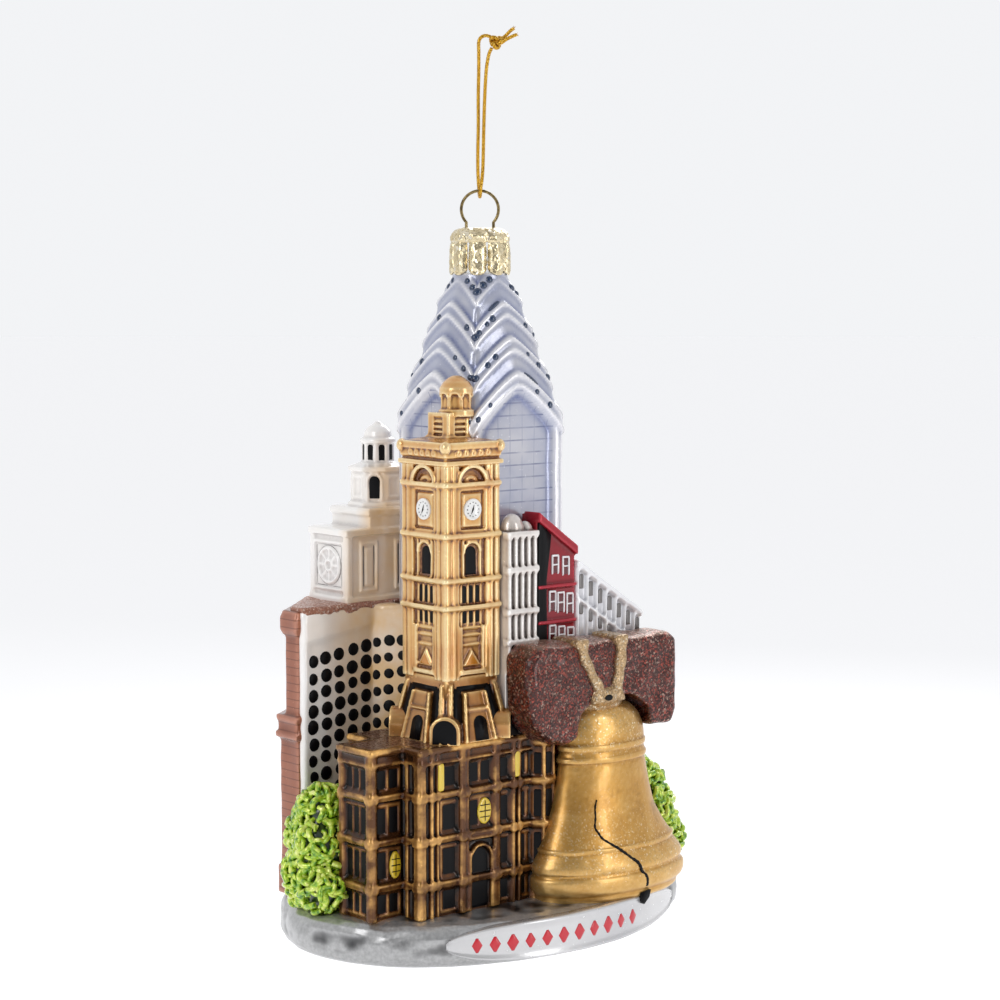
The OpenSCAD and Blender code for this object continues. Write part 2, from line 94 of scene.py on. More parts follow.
# The room is white above and grey behind the camera, so that polished glass has something to mirror.
world = bpy.data.worlds.new("white_room")
world.use_nodes = True
room = world.node_tree
way = room.nodes.new("ShaderNodeTexCoord")
way_axes = room.nodes.new("ShaderNodeSeparateXYZ")
room.links.new(way.outputs["Generated"], way_axes.inputs["Vector"])
shade = room.nodes.new("ShaderNodeMapRange")
shade.inputs["From Min"].default_value = -0.9
shade.inputs["From Max"].default_value = 0.35
shade.inputs["To Min"].default_value = 0.30
shade.inputs["To Max"].default_value = 0.92
room.links.new(way_axes.outputs["Y"], shade.inputs["Value"])
room.links.new(shade.outputs["Result"], room.nodes["Background"].inputs["Strength"])
room.nodes["Background"].inputs["Color"].default_value = (0.97, 0.98, 1.0, 1)
scene.world = world

FLOOR_DROP = 45
floor_mesh = bpy.data.meshes.new("floor")
floor_half = 6000
floor_mesh.from_pydata(
    [ROW @ Vector((x * floor_half, y * floor_half, -FLOOR_DROP)) for x, y in ((-1, -1), (1, -1), (1, 1), (-1, 1))],
    [],
    [(0, 1, 2, 3)],
)
floor = link("floor", floor_mesh)
floor_paint = bpy.data.materials.new("floor_paint")
floor_paint.use_nodes = True
floor_paint.node_tree.nodes["Principled BSDF"].inputs["Base Color"].default_value = (0.93, 0.93, 0.94, 1)
floor_paint.node_tree.nodes["Principled BSDF"].inputs["Roughness"].default_value = 0.9
floor_paint.node_tree.nodes["Principled BSDF"].inputs["Emission Color"].default_value = (1, 1, 1, 1)
floor_paint.node_tree.nodes["Principled BSDF"].inputs["Emission Strength"].default_value = 0.24
floor_mesh.materials.append(floor_paint)

# ---- Cord: the gold loop with its knot and tails ------------------------------------------
# One length of metallic thread cord, twisted from three plies. It runs from the knot round the
# hook, down through the wire ring and up again, and both ends are tied together in the knot.
CORD_D = 0.7
CAP_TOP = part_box("cap")[1].z
FROM_CAP = Matrix.Translation((axis_x, 0, CAP_TOP)) @ Matrix.Scale(MM, 4)
cord_points = [
    (3.1, 0.1, 36.5), (2.5, 0, 37.2), (1.8, 0, 37.6), (1.0, 0, 37.7), (0.2, 0, 37.3), (-0.2, 0, 36.4),
    (-0.2, 0.1, 34.5), (-0.2, 0.2, 31), (-0.3, 0.3, 26), (-0.3, 0.5, 20), (-0.4, 0.8, 15), (-0.4, 1.2, 11.5),
    (-0.3, 1.6, 9.2), (-0.2, 1.7, 7.8), (-0.1, 1.2, 6.6), (0, 0, 6.1), (0.1, -1.2, 6.6), (0.2, -1.7, 7.8),
    (0.4, -1.6, 9.2), (0.6, -1.2, 11.5), (0.7, -0.8, 15), (0.8, -0.5, 20), (1.0, -0.3, 26), (1.3, -0.2, 31),
    (1.8, -0.1, 34), (2.4, 0, 35.3),
]
tail_points = [
    [(4.1, 0.1, 37.0), (5.0, 0.2, 37.6), (6.0, 0.1, 38.6), (6.8, 0, 39.2)],
    [(4.1, -0.3, 36.2), (5.2, -0.5, 36.9), (6.4, -0.6, 37.5), (7.4, -0.7, 37.9)],
]
knot_point = (3.3, 0, 36.5)


def smooth_route(points, steps):
    """The route through the points that part.scad sweeps its tube along."""
    p = [Vector(q) for q in points]
    route = []
    for i in range(len(p) - 1):
        a, b, c, d = p[max(i - 1, 0)], p[i], p[i + 1], p[min(i + 2, len(p) - 1)]
        for k in range(steps):
            t = k / steps
            route.append(
                0.5 * (2 * b + (c - a) * t + (2 * a - 5 * b + 4 * c - d) * t * t + (3 * b - a - 3 * c + d) * t**3)
            )
    return route + [p[-1]]


def route_length(route):
    return sum((b - a).length for a, b in zip(route, route[1:]))


def resample(route, step):
    """Points an even step apart along a route."""
    whole = route_length(route)
    count = max(2, round(whole / step))
    marks = [whole * i / count for i in range(count + 1)]
    out, i, gone = [], 0, 0.0
    for mark in marks:
        while i < len(route) - 2 and gone + (route[i + 1] - route[i]).length < mark:
            gone += (route[i + 1] - route[i]).length
            i += 1
        piece = (route[i + 1] - route[i]).length
        out.append(route[i].lerp(route[i + 1], min(1, (mark - gone) / max(piece, 1e-9))))
    return out


def tube_mesh(name, routes, radius, place, sides=14, plies=0, pitch=1.0, depth=0.14, taper=0):
    """Closed tubes along routes. With plies, the surface is that of a twisted cord."""
    verts, faces = [], []
    for route in routes:
        start = len(verts)
        n = len(route)
        side = Vector((0, 1, 0))
        gone = 0.0
        for i, p in enumerate(route):
            heading = (route[min(i + 1, n - 1)] - route[max(i - 1, 0)]).normalized()
            side = (side - heading * side.dot(heading)).normalized()
            up = heading.cross(side)
            if i:
                gone += (p - route[i - 1]).length
            end = min(1.0, 0.35 + min(i, n - 1 - i) / taper) if taper else 1.0
            for k in range(sides):
                turn = 2 * math.pi * k / sides
                r = radius * end
                if plies:
                    r *= 1 - depth + depth * abs(math.cos(plies * (turn - 2 * math.pi * gone / pitch) / 2)) * 1.3
                verts.append(place @ (p + r * (math.cos(turn) * side + math.sin(turn) * up)))
        for i in range(n - 1):
            for k in range(sides):
                a = start + i * sides + k
                b = start + i * sides + (k + 1) % sides
                faces.append((a, b, b + sides, a + sides))
        faces.append(tuple(start + k for k in reversed(range(sides))))
        faces.append(tuple(start + (n - 1) * sides + k for k in range(sides)))
    mesh = bpy.data.meshes.new(name)
    mesh.from_pydata(verts, [], faces)
    mesh.shade_smooth()
    return mesh


def new_material(name):
    """A material with its Principled BSDF, and short ways to add and join nodes."""
    material = bpy.data.materials.new(name)
    material.use_nodes = True
    tree = material.node_tree
    return material, tree, tree.nodes["Principled BSDF"]


def add(tree, kind, values=None, **settings):
    node = tree.nodes.new(kind)
    for key, value in settings.items():
        setattr(node, key, value)
    for key, value in (values or {}).items():
        node.inputs[key].default_value = value
    return node


def join(tree, *pairs):
    for source, target in pairs:
        tree.links.new(source, target)


def set_shader(shader, **values):
    for key, value in values.items():
        shader.inputs[key.replace("_", " ").title().replace("Ior", "IOR")].default_value = value


def object_noise(tree, scale, detail=3.0, rough=0.5):
    where = add(tree, "ShaderNodeTexCoord")
    cloud = add(tree, "ShaderNodeTexNoise", {"Scale": scale, "Detail": detail, "Roughness": rough})
    join(tree, (where.outputs["Object"], cloud.inputs["Vector"]))
    return cloud


def ramp(tree, source, stops):
    node = add(tree, "ShaderNodeValToRGB")
    elements = node.color_ramp.elements
    while len(elements) < len(stops):
        elements.new(0.5)
    for element, (at, colour) in zip(elements, stops):
        element.position = at
        element.color = (*colour, 1)
    join(tree, (source, node.inputs["Fac"]))
    return node.outputs["Color"]


gold_thread, tree, shader = new_material("gold_thread")
fibres = object_noise(tree, 5200, 2.0)
join(tree, (ramp(tree, fibres.outputs["Fac"], [(0.3, (0.20, 0.08, 0.005)), (0.54, (0.62, 0.33, 0.02)),
                                              (0.76, (0.98, 0.72, 0.20))]), shader.inputs["Base Color"]))
rub = add(tree, "ShaderNodeBump", {"Strength": 0.6, "Distance": 0.00006})
join(tree, (fibres.outputs["Fac"], rub.inputs["Height"]), (rub.outputs["Normal"], shader.inputs["Normal"]))
set_shader(shader, metallic=0.85, roughness=0.34)

cord_route = smooth_route(cord_points, 6)
cord_mesh = tube_mesh("cord", [resample(cord_route, 0.09)], CORD_D / 2, FROM_CAP, 18, 3, 1.5)
cord_mesh.materials.append(gold_thread)
cord = link("cord", cord_mesh)

KNOT_SIZE = 0.44
knot_route = []
for step in range(121):
    turn = 2 * math.pi * step / 120
    swing = Vector((math.sin(turn) + 2 * math.sin(2 * turn), -math.sin(3 * turn) * 1.3,
                    math.cos(turn) - 2 * math.cos(2 * turn)))
    knot_route.append(Vector(knot_point) + KNOT_SIZE * 0.92 * swing)
knot_core = [Vector(knot_point) + Vector((x, 0, x * 0.5)) for x in (-1.2, -0.4, 0.4, 1.2)]
knot_mesh = tube_mesh("cord_knot_wraps", [resample(knot_route, 0.09), knot_core], CORD_D * 0.56, FROM_CAP, 16, 3, 1.5)
knot_mesh.materials.append(gold_thread)
knot = link("cord_knot_wraps", knot_mesh)
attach(knot, "cord")
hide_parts("cord_knot")

dice = random.Random(5)
tail_routes = [resample(smooth_route([knot_point] + points, 6), 0.09) for points in tail_points]
fray_routes = []
for points in tail_points:
    tip = Vector(points[-1])
    way = (tip - Vector(points[-2])).normalized()
    for thread in range(9):
        spread = Vector((dice.uniform(-1, 1), dice.uniform(-1, 1), dice.uniform(-1, 1))) * 0.34
        fray_routes.append([tip - way * 0.7, tip - way * 0.2 + spread * 0.5, tip + spread + way * dice.uniform(-0.1, 0.15)])
tail_mesh = tube_mesh("cord_tail_ends", tail_routes, CORD_D / 2, FROM_CAP, 16, 3, 1.5, taper=3)
fray_mesh = tube_mesh("frays", [smooth_route(r, 4) for r in fray_routes], 0.055, FROM_CAP, 6)
both = bmesh.new()
both.from_mesh(tail_mesh)
both.from_mesh(fray_mesh)
both.to_mesh(tail_mesh)
both.free()
tail_mesh.shade_smooth()
tail_mesh.materials.append(gold_thread)
tails = link("cord_tail_ends", tail_mesh)
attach(tails, "cord")
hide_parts("cord_tails")

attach(cord, "cord")
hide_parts("cord_loop")

# ---- Wire ring ------------------------------------------------------------------------------
# Antique brass wire, bent round a mandrel to a ring. Its two legs go through the cap and spring
# apart inside the glass neck, which is what holds the glass.
wire_low, wire_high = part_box("hanger_wire")
WIRE_R = 0.3
RING_R = (wire_high.x - wire_low.x) / MM / 2 - 0.4
ring_height = (wire_high.z - CAP_TOP) / MM - 0.4 - RING_R
LEG_X = 2.7
leg_low = (wire_low.z - CAP_TOP) / MM
leg_turn = math.asin(LEG_X / RING_R)
ring_route = [Vector((-LEG_X, 0, leg_low)), Vector((-LEG_X, 0, leg_low / 2)), Vector((-LEG_X, 0, 0))]
for step in range(65):
    turn = math.pi + leg_turn + (2 * math.pi - 2 * leg_turn) * step / 64
    ring_route.append(Vector((RING_R * math.sin(turn), 0, ring_height + RING_R * math.cos(turn))))
ring_route += [Vector((LEG_X, 0, 0)), Vector((LEG_X, 0, leg_low / 2)), Vector((LEG_X, 0, leg_low))]
ring_mesh = tube_mesh("wire_ring", [ring_route], WIRE_R, FROM_CAP, 16)

antique_brass, tree, shader = new_material("antique_brass")
tarnish = object_noise(tree, 900, 4.0)
join(tree, (ramp(tree, tarnish.outputs["Fac"], [(0.35, (0.10, 0.07, 0.03)), (0.6, (0.36, 0.27, 0.12)),
                                               (0.75, (0.62, 0.50, 0.26))]), shader.inputs["Base Color"]))
rub = add(tree, "ShaderNodeBump", {"Strength": 0.3, "Distance": 0.00004})
join(tree, (tarnish.outputs["Fac"], rub.inputs["Height"]), (rub.outputs["Normal"], shader.inputs["Normal"]))
set_shader(shader, metallic=1.0, roughness=0.3)
ring_mesh.materials.append(antique_brass)
ring = link("wire_ring", ring_mesh)
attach(ring, "hanger")
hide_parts("hanger_wire")

# ---- Cap ------------------------------------------------------------------------------------
# A cup of thin plated tin, pressed with flutes and a hammered skin, with a scalloped skirt that
# grips the neck. The wire's legs come out of two eyelets in its crown.
cap_low, cap_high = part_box("cap")
CAP_R = (cap_high.x - cap_low.x) / MM / 2
CAP_H = (cap_high.z - cap_low.z) / MM
LOBES = 8
CAP_WALL = 0.35


def ring_grid(name, rows, columns, point, place, close_top=False, close_foot=False):
    """A skin of rows round an axis: point(row, share of a turn) gives each vertex."""
    verts = [place @ point(i, k / columns) for i in range(rows) for k in range(columns)]
    faces = [
        (i * columns + k, i * columns + (k + 1) % columns, (i + 1) * columns + (k + 1) % columns, (i + 1) * columns + k)
        for i in range(rows - 1)
        for k in range(columns)
    ]
    if close_top:
        faces.append(tuple((rows - 1) * columns + k for k in range(columns)))
    if close_foot:
        faces.append(tuple(k for k in reversed(range(columns))))
    mesh = bpy.data.meshes.new(name)
    mesh.from_pydata(verts, [], faces)
    mesh.shade_smooth()
    return mesh


# share of the cap's radius and its height above the skirt, from the skirt's edge to the crown
cap_profile = [(0.94, 0.0), (0.97, 0.25), (0.985, 0.9), (0.985, 3.0), (0.975, 5.2), (0.95, 6.1), (0.93, 6.5),
               (0.955, 6.9), (0.95, 7.6), (0.90, 8.3), (0.80, 8.9), (0.66, 9.25), (0.45, 9.35), (0.2, 9.36), (0.03, 9.36)]


def cap_curve(share):
    x = share * (len(cap_profile) - 1)
    i = min(int(x), len(cap_profile) - 2)
    t = x - i
    (r0, h0), (r1, h1) = cap_profile[i], cap_profile[i + 1]
    return r0 + (r1 - r0) * t, h0 + (h1 - h0) * t


CAP_ROWS = 78


def cap_point(row, share):
    reach, height = cap_curve(row / (CAP_ROWS - 1))
    turn = 2 * math.pi * share
    lobe = abs(math.cos(LOBES * turn / 2 + 0.35))
    fade = min(1, max(0, (8.6 - height) / 1.2))
    groove = (1 - lobe) ** 1.8 * fade * (1.3 if height < 6.5 else 0.55)
    scallop = (1 - lobe) ** 1.4 * 1.15 * max(0, 1 - height / 1.6)
    r = CAP_R * reach - groove
    where = Vector((math.cos(turn) * r, math.sin(turn) * r, height + scallop))
    dint = noise.noise(where * 1.3) * 0.14 + noise.noise(where * 2.6) * 0.10
    return where * 1.0 + Vector((math.cos(turn), math.sin(turn), 0.4)) * min(dint, 0.04)


CAP_PLACE = Matrix.Translation((axis_x, 0, cap_low.z)) @ Matrix.Scale(MM, 4)
cap_mesh = ring_grid("cap_skin", CAP_ROWS, 192, cap_point, CAP_PLACE, close_top=True)
cap = link("cap_skin", cap_mesh)
wall = cap.modifiers.new("wall", "SOLIDIFY")
wall.thickness = CAP_WALL * MM
wall.offset = -1
for side in (-1, 1):
    eyelet_route = [
        Vector((side * LEG_X + 0.62 * math.cos(a), 0.62 * math.sin(a), CAP_H - 0.12))
        for a in [2 * math.pi * k / 20 for k in range(21)]
    ]
    eyelet_mesh = tube_mesh("eyelet", [eyelet_route], 0.17, CAP_PLACE, 8)
    rim = bmesh.new()
    rim.from_mesh(cap_mesh)
    rim.from_mesh(eyelet_mesh)
    rim.to_mesh(cap_mesh)
    rim.free()
cap_mesh.shade_smooth()


def shader_group(name, inputs, outputs):
    """A node group with named sockets: inputs are name: (kind, value), outputs are name: kind."""
    group = bpy.data.node_groups.new(name, "ShaderNodeTree")
    for label, (kind, value) in inputs.items():
        socket = group.interface.new_socket(label, in_out="INPUT", socket_type="NodeSocket" + kind)
        socket.default_value = value
    for label, kind in outputs.items():
        group.interface.new_socket(label, in_out="OUTPUT", socket_type="NodeSocket" + kind)
    return group, add(group, "NodeGroupInput"), add(group, "NodeGroupOutput")


def maths(tree, operation, a, b=None, clamp=False):
    node = add(tree, "ShaderNodeMath", operation=operation, use_clamp=clamp)
    for i, value in enumerate((a, b)):
        if value is None:
            continue
        if isinstance(value, (int, float)):
            node.inputs[i].default_value = value
        else:
            join(tree, (value, node.inputs[i]))
    return node.outputs[0]


def mix_colour(tree, factor, a, b, blend="MIX"):
    node = add(tree, "ShaderNodeMix", data_type="RGBA", blend_type=blend)
    for socket, value in ((node.inputs[0], factor), (node.inputs[6], a), (node.inputs[7], b)):
        if isinstance(value, tuple):
            socket.default_value = (*value, 1)
        elif isinstance(value, (int, float)):
            socket.default_value = value
        else:
            join(tree, (value, socket))
    return node.outputs[2]


# Glitter: each flake is one cell of a fine foam, with its own tilt and its own brightness. The brightness is painted
# glint: a dim flake stands in for one that catches no light.
glitter, inside, outside = shader_group(
    "glitter",
    {"Flakes per metre": ("Float", 3500.0), "Tilt": ("Float", 0.5), "Cover": ("Float", 0.8), "Ground": ("Color", (0.2, 0.1, 0.1, 1)),
     "Flake": ("Color", (0.8, 0.5, 0.4, 1)), "Second flake": ("Color", (0.9, 0.9, 0.9, 1))},
    {"Color": "Color", "Normal": "Vector", "Flake mask": "Float"},
)
where = add(glitter, "ShaderNodeTexCoord")
cells = add(glitter, "ShaderNodeTexVoronoi")
join(glitter, (where.outputs["Object"], cells.inputs["Vector"]), (inside.outputs["Flakes per metre"], cells.inputs["Scale"]))
split = add(glitter, "ShaderNodeSeparateColor")
join(glitter, (cells.outputs["Color"], split.inputs["Color"]))
flake_mask = maths(glitter, "LESS_THAN", split.outputs["Red"], inside.outputs["Cover"])
# painted glint: a random brightness for each flake
flake_glint = maths(glitter, "POWER", split.outputs["Green"], 2.2)
second = maths(glitter, "GREATER_THAN", split.outputs["Blue"], 0.72)
flake_colour = mix_colour(glitter, second, inside.outputs["Flake"], inside.outputs["Second flake"])
lit = mix_colour(glitter, flake_glint, inside.outputs["Ground"], flake_colour)
join(glitter, (mix_colour(glitter, flake_mask, inside.outputs["Ground"], lit), outside.inputs["Color"]))
centred = add(glitter, "ShaderNodeVectorMath", {1: (0.5, 0.5, 0.5)}, operation="SUBTRACT")
join(glitter, (cells.outputs["Color"], centred.inputs[0]))
tilted = add(glitter, "ShaderNodeVectorMath", operation="SCALE")
join(glitter, (centred.outputs[0], tilted.inputs[0]),
     (maths(glitter, "MULTIPLY", inside.outputs["Tilt"], maths(glitter, "MULTIPLY", flake_mask, 2.0)), tilted.inputs["Scale"]))
skin = add(glitter, "ShaderNodeNewGeometry")
leant = add(glitter, "ShaderNodeVectorMath", operation="ADD")
join(glitter, (skin.outputs["Normal"], leant.inputs[0]), (tilted.outputs[0], leant.inputs[1]))
unit = add(glitter, "ShaderNodeVectorMath", operation="NORMALIZE")
join(glitter, (leant.outputs[0], unit.inputs[0]), (unit.outputs[0], outside.inputs["Normal"]),
     (flake_mask, outside.inputs["Flake mask"]))


def place_group(tree, group, **values):
    node = add(tree, "ShaderNodeGroup", node_tree=group)
    for key, value in values.items():
        socket = node.inputs[key.replace("_", " ").capitalize()]
        socket.default_value = (*value, 1) if isinstance(value, tuple) else value
    return node


hammered_tin, tree, shader = new_material("hammered_tin")
flakes = place_group(tree, glitter, flakes_per_metre=1500.0, tilt=0.26, cover=0.95, ground=(0.66, 0.55, 0.34),
                     flake=(0.93, 0.83, 0.58), second_flake=(0.98, 0.93, 0.80))
cloud = object_noise(tree, 420, 3.0)
aged = mix_colour(tree, maths(tree, "MULTIPLY", cloud.outputs["Fac"], 0.3), flakes.outputs["Color"], (0.70, 0.58, 0.36))
join(tree, (aged, shader.inputs["Base Color"]), (flakes.outputs["Normal"], shader.inputs["Normal"]))
set_shader(shader, metallic=1.0, roughness=0.26)
cap_mesh.materials.append(hammered_tin)
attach(cap, "cap")
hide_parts("cap")

# ---- Skyscraper -----------------------------------------------------------------------------
# The tallest form of the blown glass: a square shaft with recessed window walls under a crown of
# folded chevrons. Pearl lacquer lies over the silvering, and blue dots are touched on by brush.
GRID_TURN = math.radians(40)
GRID = ROW @ Matrix.Rotation(GRID_TURN, 4, "Z")
TO_GRID = GRID.inverted()


def grid_box(*nodes):
    """Corners of CAD nodes on the street grid, in millimetres from the neck's axis and the foot."""
    points = [TO_GRID @ v.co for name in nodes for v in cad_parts[name].data.vertices]
    return (Vector([min(p[k] for p in points) for k in range(3)]), Vector([max(p[k] for p in points) for k in range(3)]))


sky_low, sky_high = grid_box("skyscraper_shaft")
SKY_HALF = sky_high.x
SKY_FOOT = sky_low.z
crown_low, crown_high = grid_box("skyscraper_crown")
CROWN_FOOT = 102.5
CROWN_TOP = crown_high.z
CROWN_HALF = 4.4
FOLDS = 4
FOLD_STEP = 8.5
FOLD_FIRST = 100.4
FOLD_SLOPE = 1.05
RIBBON = 3.0


def bump(x, width):
    """A smooth ridge of height 1 round x = 0."""
    return math.exp(-((x / width) ** 2))


def half_side(level):
    """Half the side of the crown at a level, counted along the folds."""
    lean = min(1, max(0, (level - CROWN_FOOT) / (CROWN_TOP - CROWN_FOOT)))
    half = SKY_HALF - (SKY_HALF - CROWN_HALF) * lean
    turn = (level - FOLD_FIRST) / FOLD_STEP
    if turn > -0.15 and turn < FOLDS:
        rise = (turn - math.floor(turn + 0.15)) * FOLD_STEP
        half += 0.36 * bump(rise, 0.55) + 0.36 * bump(rise - RIBBON, 0.55)
        half += 0.16 / (1 + math.exp((abs(rise - RIBBON / 2) - RIBBON / 2) * 5))
        past = rise - RIBBON
        if past > 0:
            half -= 0.30 * (1 - past / (FOLD_STEP - RIBBON)) * min(1, past / 0.8)
    return half


SKY_SIDE = 56
SKY_ROWS = 290


def sky_surface(z, side, s):
    """The skyscraper's skin at a height, on one of its four sides, at s from one corner (-1) to the next (1)."""
    lean = min(1, max(0, (z - CROWN_FOOT) / (CROWN_TOP - CROWN_FOOT)))
    rough_half = SKY_HALF - (SKY_HALF - CROWN_HALF) * lean
    climb = 1.02 - math.sqrt(s * s + 0.012)
    level = z - FOLD_SLOPE * rough_half * climb
    half = half_side(level) if z > CROWN_FOOT - 5 else SKY_HALF
    across = abs(s) * rough_half
    if level < FOLD_FIRST - 0.9:
        half = SKY_HALF - 0.85 / (1 + math.exp((across - 9.6) * 4)) / (1 + math.exp((level - FOLD_FIRST + 2.0) * 3))
        half -= 0.22 * bump(across - 11.0, 0.25)
    corner = 1 - 0.035 * (max(0, abs(s) - 0.82) / 0.18) ** 2.2
    x = s * min(half, SKY_HALF + 0.3) * corner
    y = -half * corner
    turn = side * math.pi / 2
    p = Vector((x * math.cos(turn) - y * math.sin(turn), x * math.sin(turn) + y * math.cos(turn), z))
    if z > CROWN_TOP - 6:
        round_off = ((z - CROWN_TOP + 6) / 6) ** 1.6
        flat = Vector((p.x, p.y)).normalized() * 5.4
        p.x += (flat.x - p.x) * round_off
        p.y += (flat.y - p.y) * round_off
    return p + Vector((p.x, p.y, 0)).normalized() * noise.noise(p * 0.22) * 0.14


def sky_point(row, share):
    side = int(share * 4)
    return sky_surface(SKY_FOOT + (CROWN_TOP - SKY_FOOT) * row / (SKY_ROWS - 1), side, (share * 4 - side) * 2 - 1)


sky_mesh = ring_grid("sky_skin", SKY_ROWS, SKY_SIDE * 4, sky_point, Matrix.Identity(4), close_top=True, close_foot=True)


def relax(points, edges, rounds):
    """Points drawn towards the middle of their neighbours, round after round."""
    a, b = edges[:, 0], edges[:, 1]
    count = np.bincount(a, minlength=len(points)) + np.bincount(b, minlength=len(points))
    count = np.maximum(count, 1)[:, None]
    for _ in range(rounds):
        total = np.empty_like(points)
        for k in range(3):
            total[:, k] = np.bincount(a, points[b, k], len(points)) + np.bincount(b, points[a, k], len(points))
        points = 0.4 * points + 0.6 * total / count
    return points


def mesh_points(mesh):
    points = np.empty(len(mesh.vertices) * 3)
    mesh.vertices.foreach_get("co", points)
    return points.reshape(-1, 3)


def mesh_edges(mesh):
    edges = np.empty(len(mesh.edges) * 2, np.int32)
    mesh.edges.foreach_get("vertices", edges)
    return edges.reshape(-1, 2)


def mark_relief(mesh, reach, rounds=14):
    """Stores "relief" on each vertex: 1 in a hollow, -1 on a ridge, where reach metres is a full one."""
    points = mesh_points(mesh)
    normals = np.empty(len(mesh.vertices) * 3)
    mesh.vertices.foreach_get("normal", normals)
    low = ((relax(points.copy(), mesh_edges(mesh), rounds) - points) * normals.reshape(-1, 3)).sum(1)
    relief = mesh.attributes.new("relief", "FLOAT", "POINT")
    relief.data.foreach_set("value", np.clip(low / reach, -1, 1).astype(np.float32))


mark_relief(sky_mesh, 0.22)


# Lacquer: a brushed colour, darker in the hollows and brighter on the ridges. The dark in the hollows is partly pooled
# antique wash and partly painted shade; the bright on the ridges is partly rubbed paint and partly painted highlight.
lacquer, inside, outside = shader_group(
    "lacquer",
    {"Colour": ("Color", (0.8, 0.8, 0.8, 1)), "Hollow": ("Color", (0.2, 0.2, 0.2, 1)), "Ridge": ("Color", (1, 1, 1, 1)),
     "Hollow amount": ("Float", 1.0), "Ridge amount": ("Float", 1.0), "Wash": ("Color", (0.5, 0.5, 0.5, 1)),
     "Wash amount": ("Float", 0.3), "Wash scale": ("Float", 160.0), "Rub": ("Float", 0.0), "Dullness": ("Float", 0.16)},
    {"Color": "Color", "Roughness": "Float", "Height": "Float"},
)
relief = add(lacquer, "ShaderNodeAttribute", attribute_name="relief")
where = add(lacquer, "ShaderNodeTexCoord")
clouds = add(lacquer, "ShaderNodeTexNoise", {"Detail": 4.0, "Roughness": 0.6})
fine = add(lacquer, "ShaderNodeTexNoise", {"Scale": 1500.0, "Detail": 3.0})
join(lacquer, (where.outputs["Object"], clouds.inputs["Vector"]), (where.outputs["Object"], fine.inputs["Vector"]),
     (inside.outputs["Wash scale"], clouds.inputs["Scale"]))
depth = relief.outputs["Fac"]
# Darker colour in the hollows: partly pooled antique wash, partly painted shade.
hollow = maths(lacquer, "MULTIPLY", depth, inside.outputs["Hollow amount"], True)
hollow = maths(lacquer, "MULTIPLY", hollow, maths(lacquer, "ADD", fine.outputs["Fac"], 0.45), True)
# Brighter colour on the ridges: partly rubbed paint, partly painted highlight, broken into patches where Rub is set.
ridge = maths(lacquer, "MULTIPLY", maths(lacquer, "MULTIPLY", depth, -1.0), inside.outputs["Ridge amount"], True)
rub_and_highlight_patches = maths(lacquer, "SUBTRACT", 1.0, maths(lacquer, "MULTIPLY", inside.outputs["Rub"], maths(
    lacquer, "MULTIPLY", maths(lacquer, "SUBTRACT", 0.62, clouds.outputs["Fac"]), 5.0, True)), True)
ridge = maths(lacquer, "MULTIPLY", maths(lacquer, "MULTIPLY", ridge, rub_and_highlight_patches), maths(lacquer, "ADD", fine.outputs["Fac"], 0.45), True)
wash = maths(lacquer, "MULTIPLY", maths(lacquer, "MULTIPLY", maths(lacquer, "SUBTRACT", clouds.outputs["Fac"], 0.42), 4.0, True),
             inside.outputs["Wash amount"])
tone = mix_colour(lacquer, wash, inside.outputs["Colour"], inside.outputs["Wash"])
tone = mix_colour(lacquer, ridge, tone, inside.outputs["Ridge"])
tone = mix_colour(lacquer, hollow, tone, inside.outputs["Hollow"])
join(lacquer, (tone, outside.inputs["Color"]),
     (maths(lacquer, "ADD", maths(lacquer, "MULTIPLY", fine.outputs["Fac"], 0.16), inside.outputs["Dullness"]), outside.inputs["Roughness"]),
     (maths(lacquer, "ADD", fine.outputs["Fac"], maths(lacquer, "MULTIPLY", clouds.outputs["Fac"], 2.0)), outside.inputs["Height"]))


def lacquered(name, metallic=0.35, coat=0.6, bump_height=0.00003, **paint):
    """A finished lacquer over silvered glass; paint holds the lacquer group's own values. Its hollow colour is partly
    painted shade and its ridge colour partly painted highlight.
    """
    material, tree, shader = new_material(name)
    coat_of_paint = place_group(tree, lacquer, **paint)
    dents = add(tree, "ShaderNodeBump", {"Strength": 0.5, "Distance": bump_height})
    join(tree, (coat_of_paint.outputs["Color"], shader.inputs["Base Color"]),
         (coat_of_paint.outputs["Roughness"], shader.inputs["Roughness"]),
         (coat_of_paint.outputs["Height"], dents.inputs["Height"]), (dents.outputs["Normal"], shader.inputs["Normal"]))
    set_shader(shader, metallic=metallic, coat_weight=coat, coat_roughness=0.05)
    return material, tree, shader, coat_of_paint


pearl_blue, tree, shader, paint = lacquered(
    "pearl_blue", 0.35, 0.7, colour=(0.42, 0.44, 0.54), hollow=(0.13, 0.16, 0.32), ridge=(0.88, 0.87, 0.90),
    hollow_amount=1.1, ridge_amount=1.0, wash=(0.60, 0.59, 0.62), wash_amount=0.7, wash_scale=75.0)
# Window lines are painted on the walls: the UV map holds millimetres along each wall and up it.
uv = sky_mesh.uv_layers.new(name="wall_mm")
for polygon in sky_mesh.polygons:
    for loop in polygon.loop_indices:
        p = sky_mesh.vertices[sky_mesh.loops[loop].vertex_index].co
        n = polygon.normal
        along = p.x if abs(n.y) > abs(n.x) else p.y
        uv.data[loop].uv = (along, p.z)
wall_uv = add(tree, "ShaderNodeUVMap", uv_map="wall_mm")
wall_axes = add(tree, "ShaderNodeSeparateXYZ")
join(tree, (wall_uv.outputs["UV"], wall_axes.inputs["Vector"]))


def line_mask(tree, value, pitch, width, shift=0.0):
    """1 within a line of the given width every pitch."""
    phase = maths(tree, "FRACT", maths(tree, "DIVIDE", maths(tree, "ADD", value, 1000 * pitch + shift), pitch))
    off = maths(tree, "ABSOLUTE", maths(tree, "SUBTRACT", phase, 0.5))
    return maths(tree, "LESS_THAN", off, width / pitch / 2)


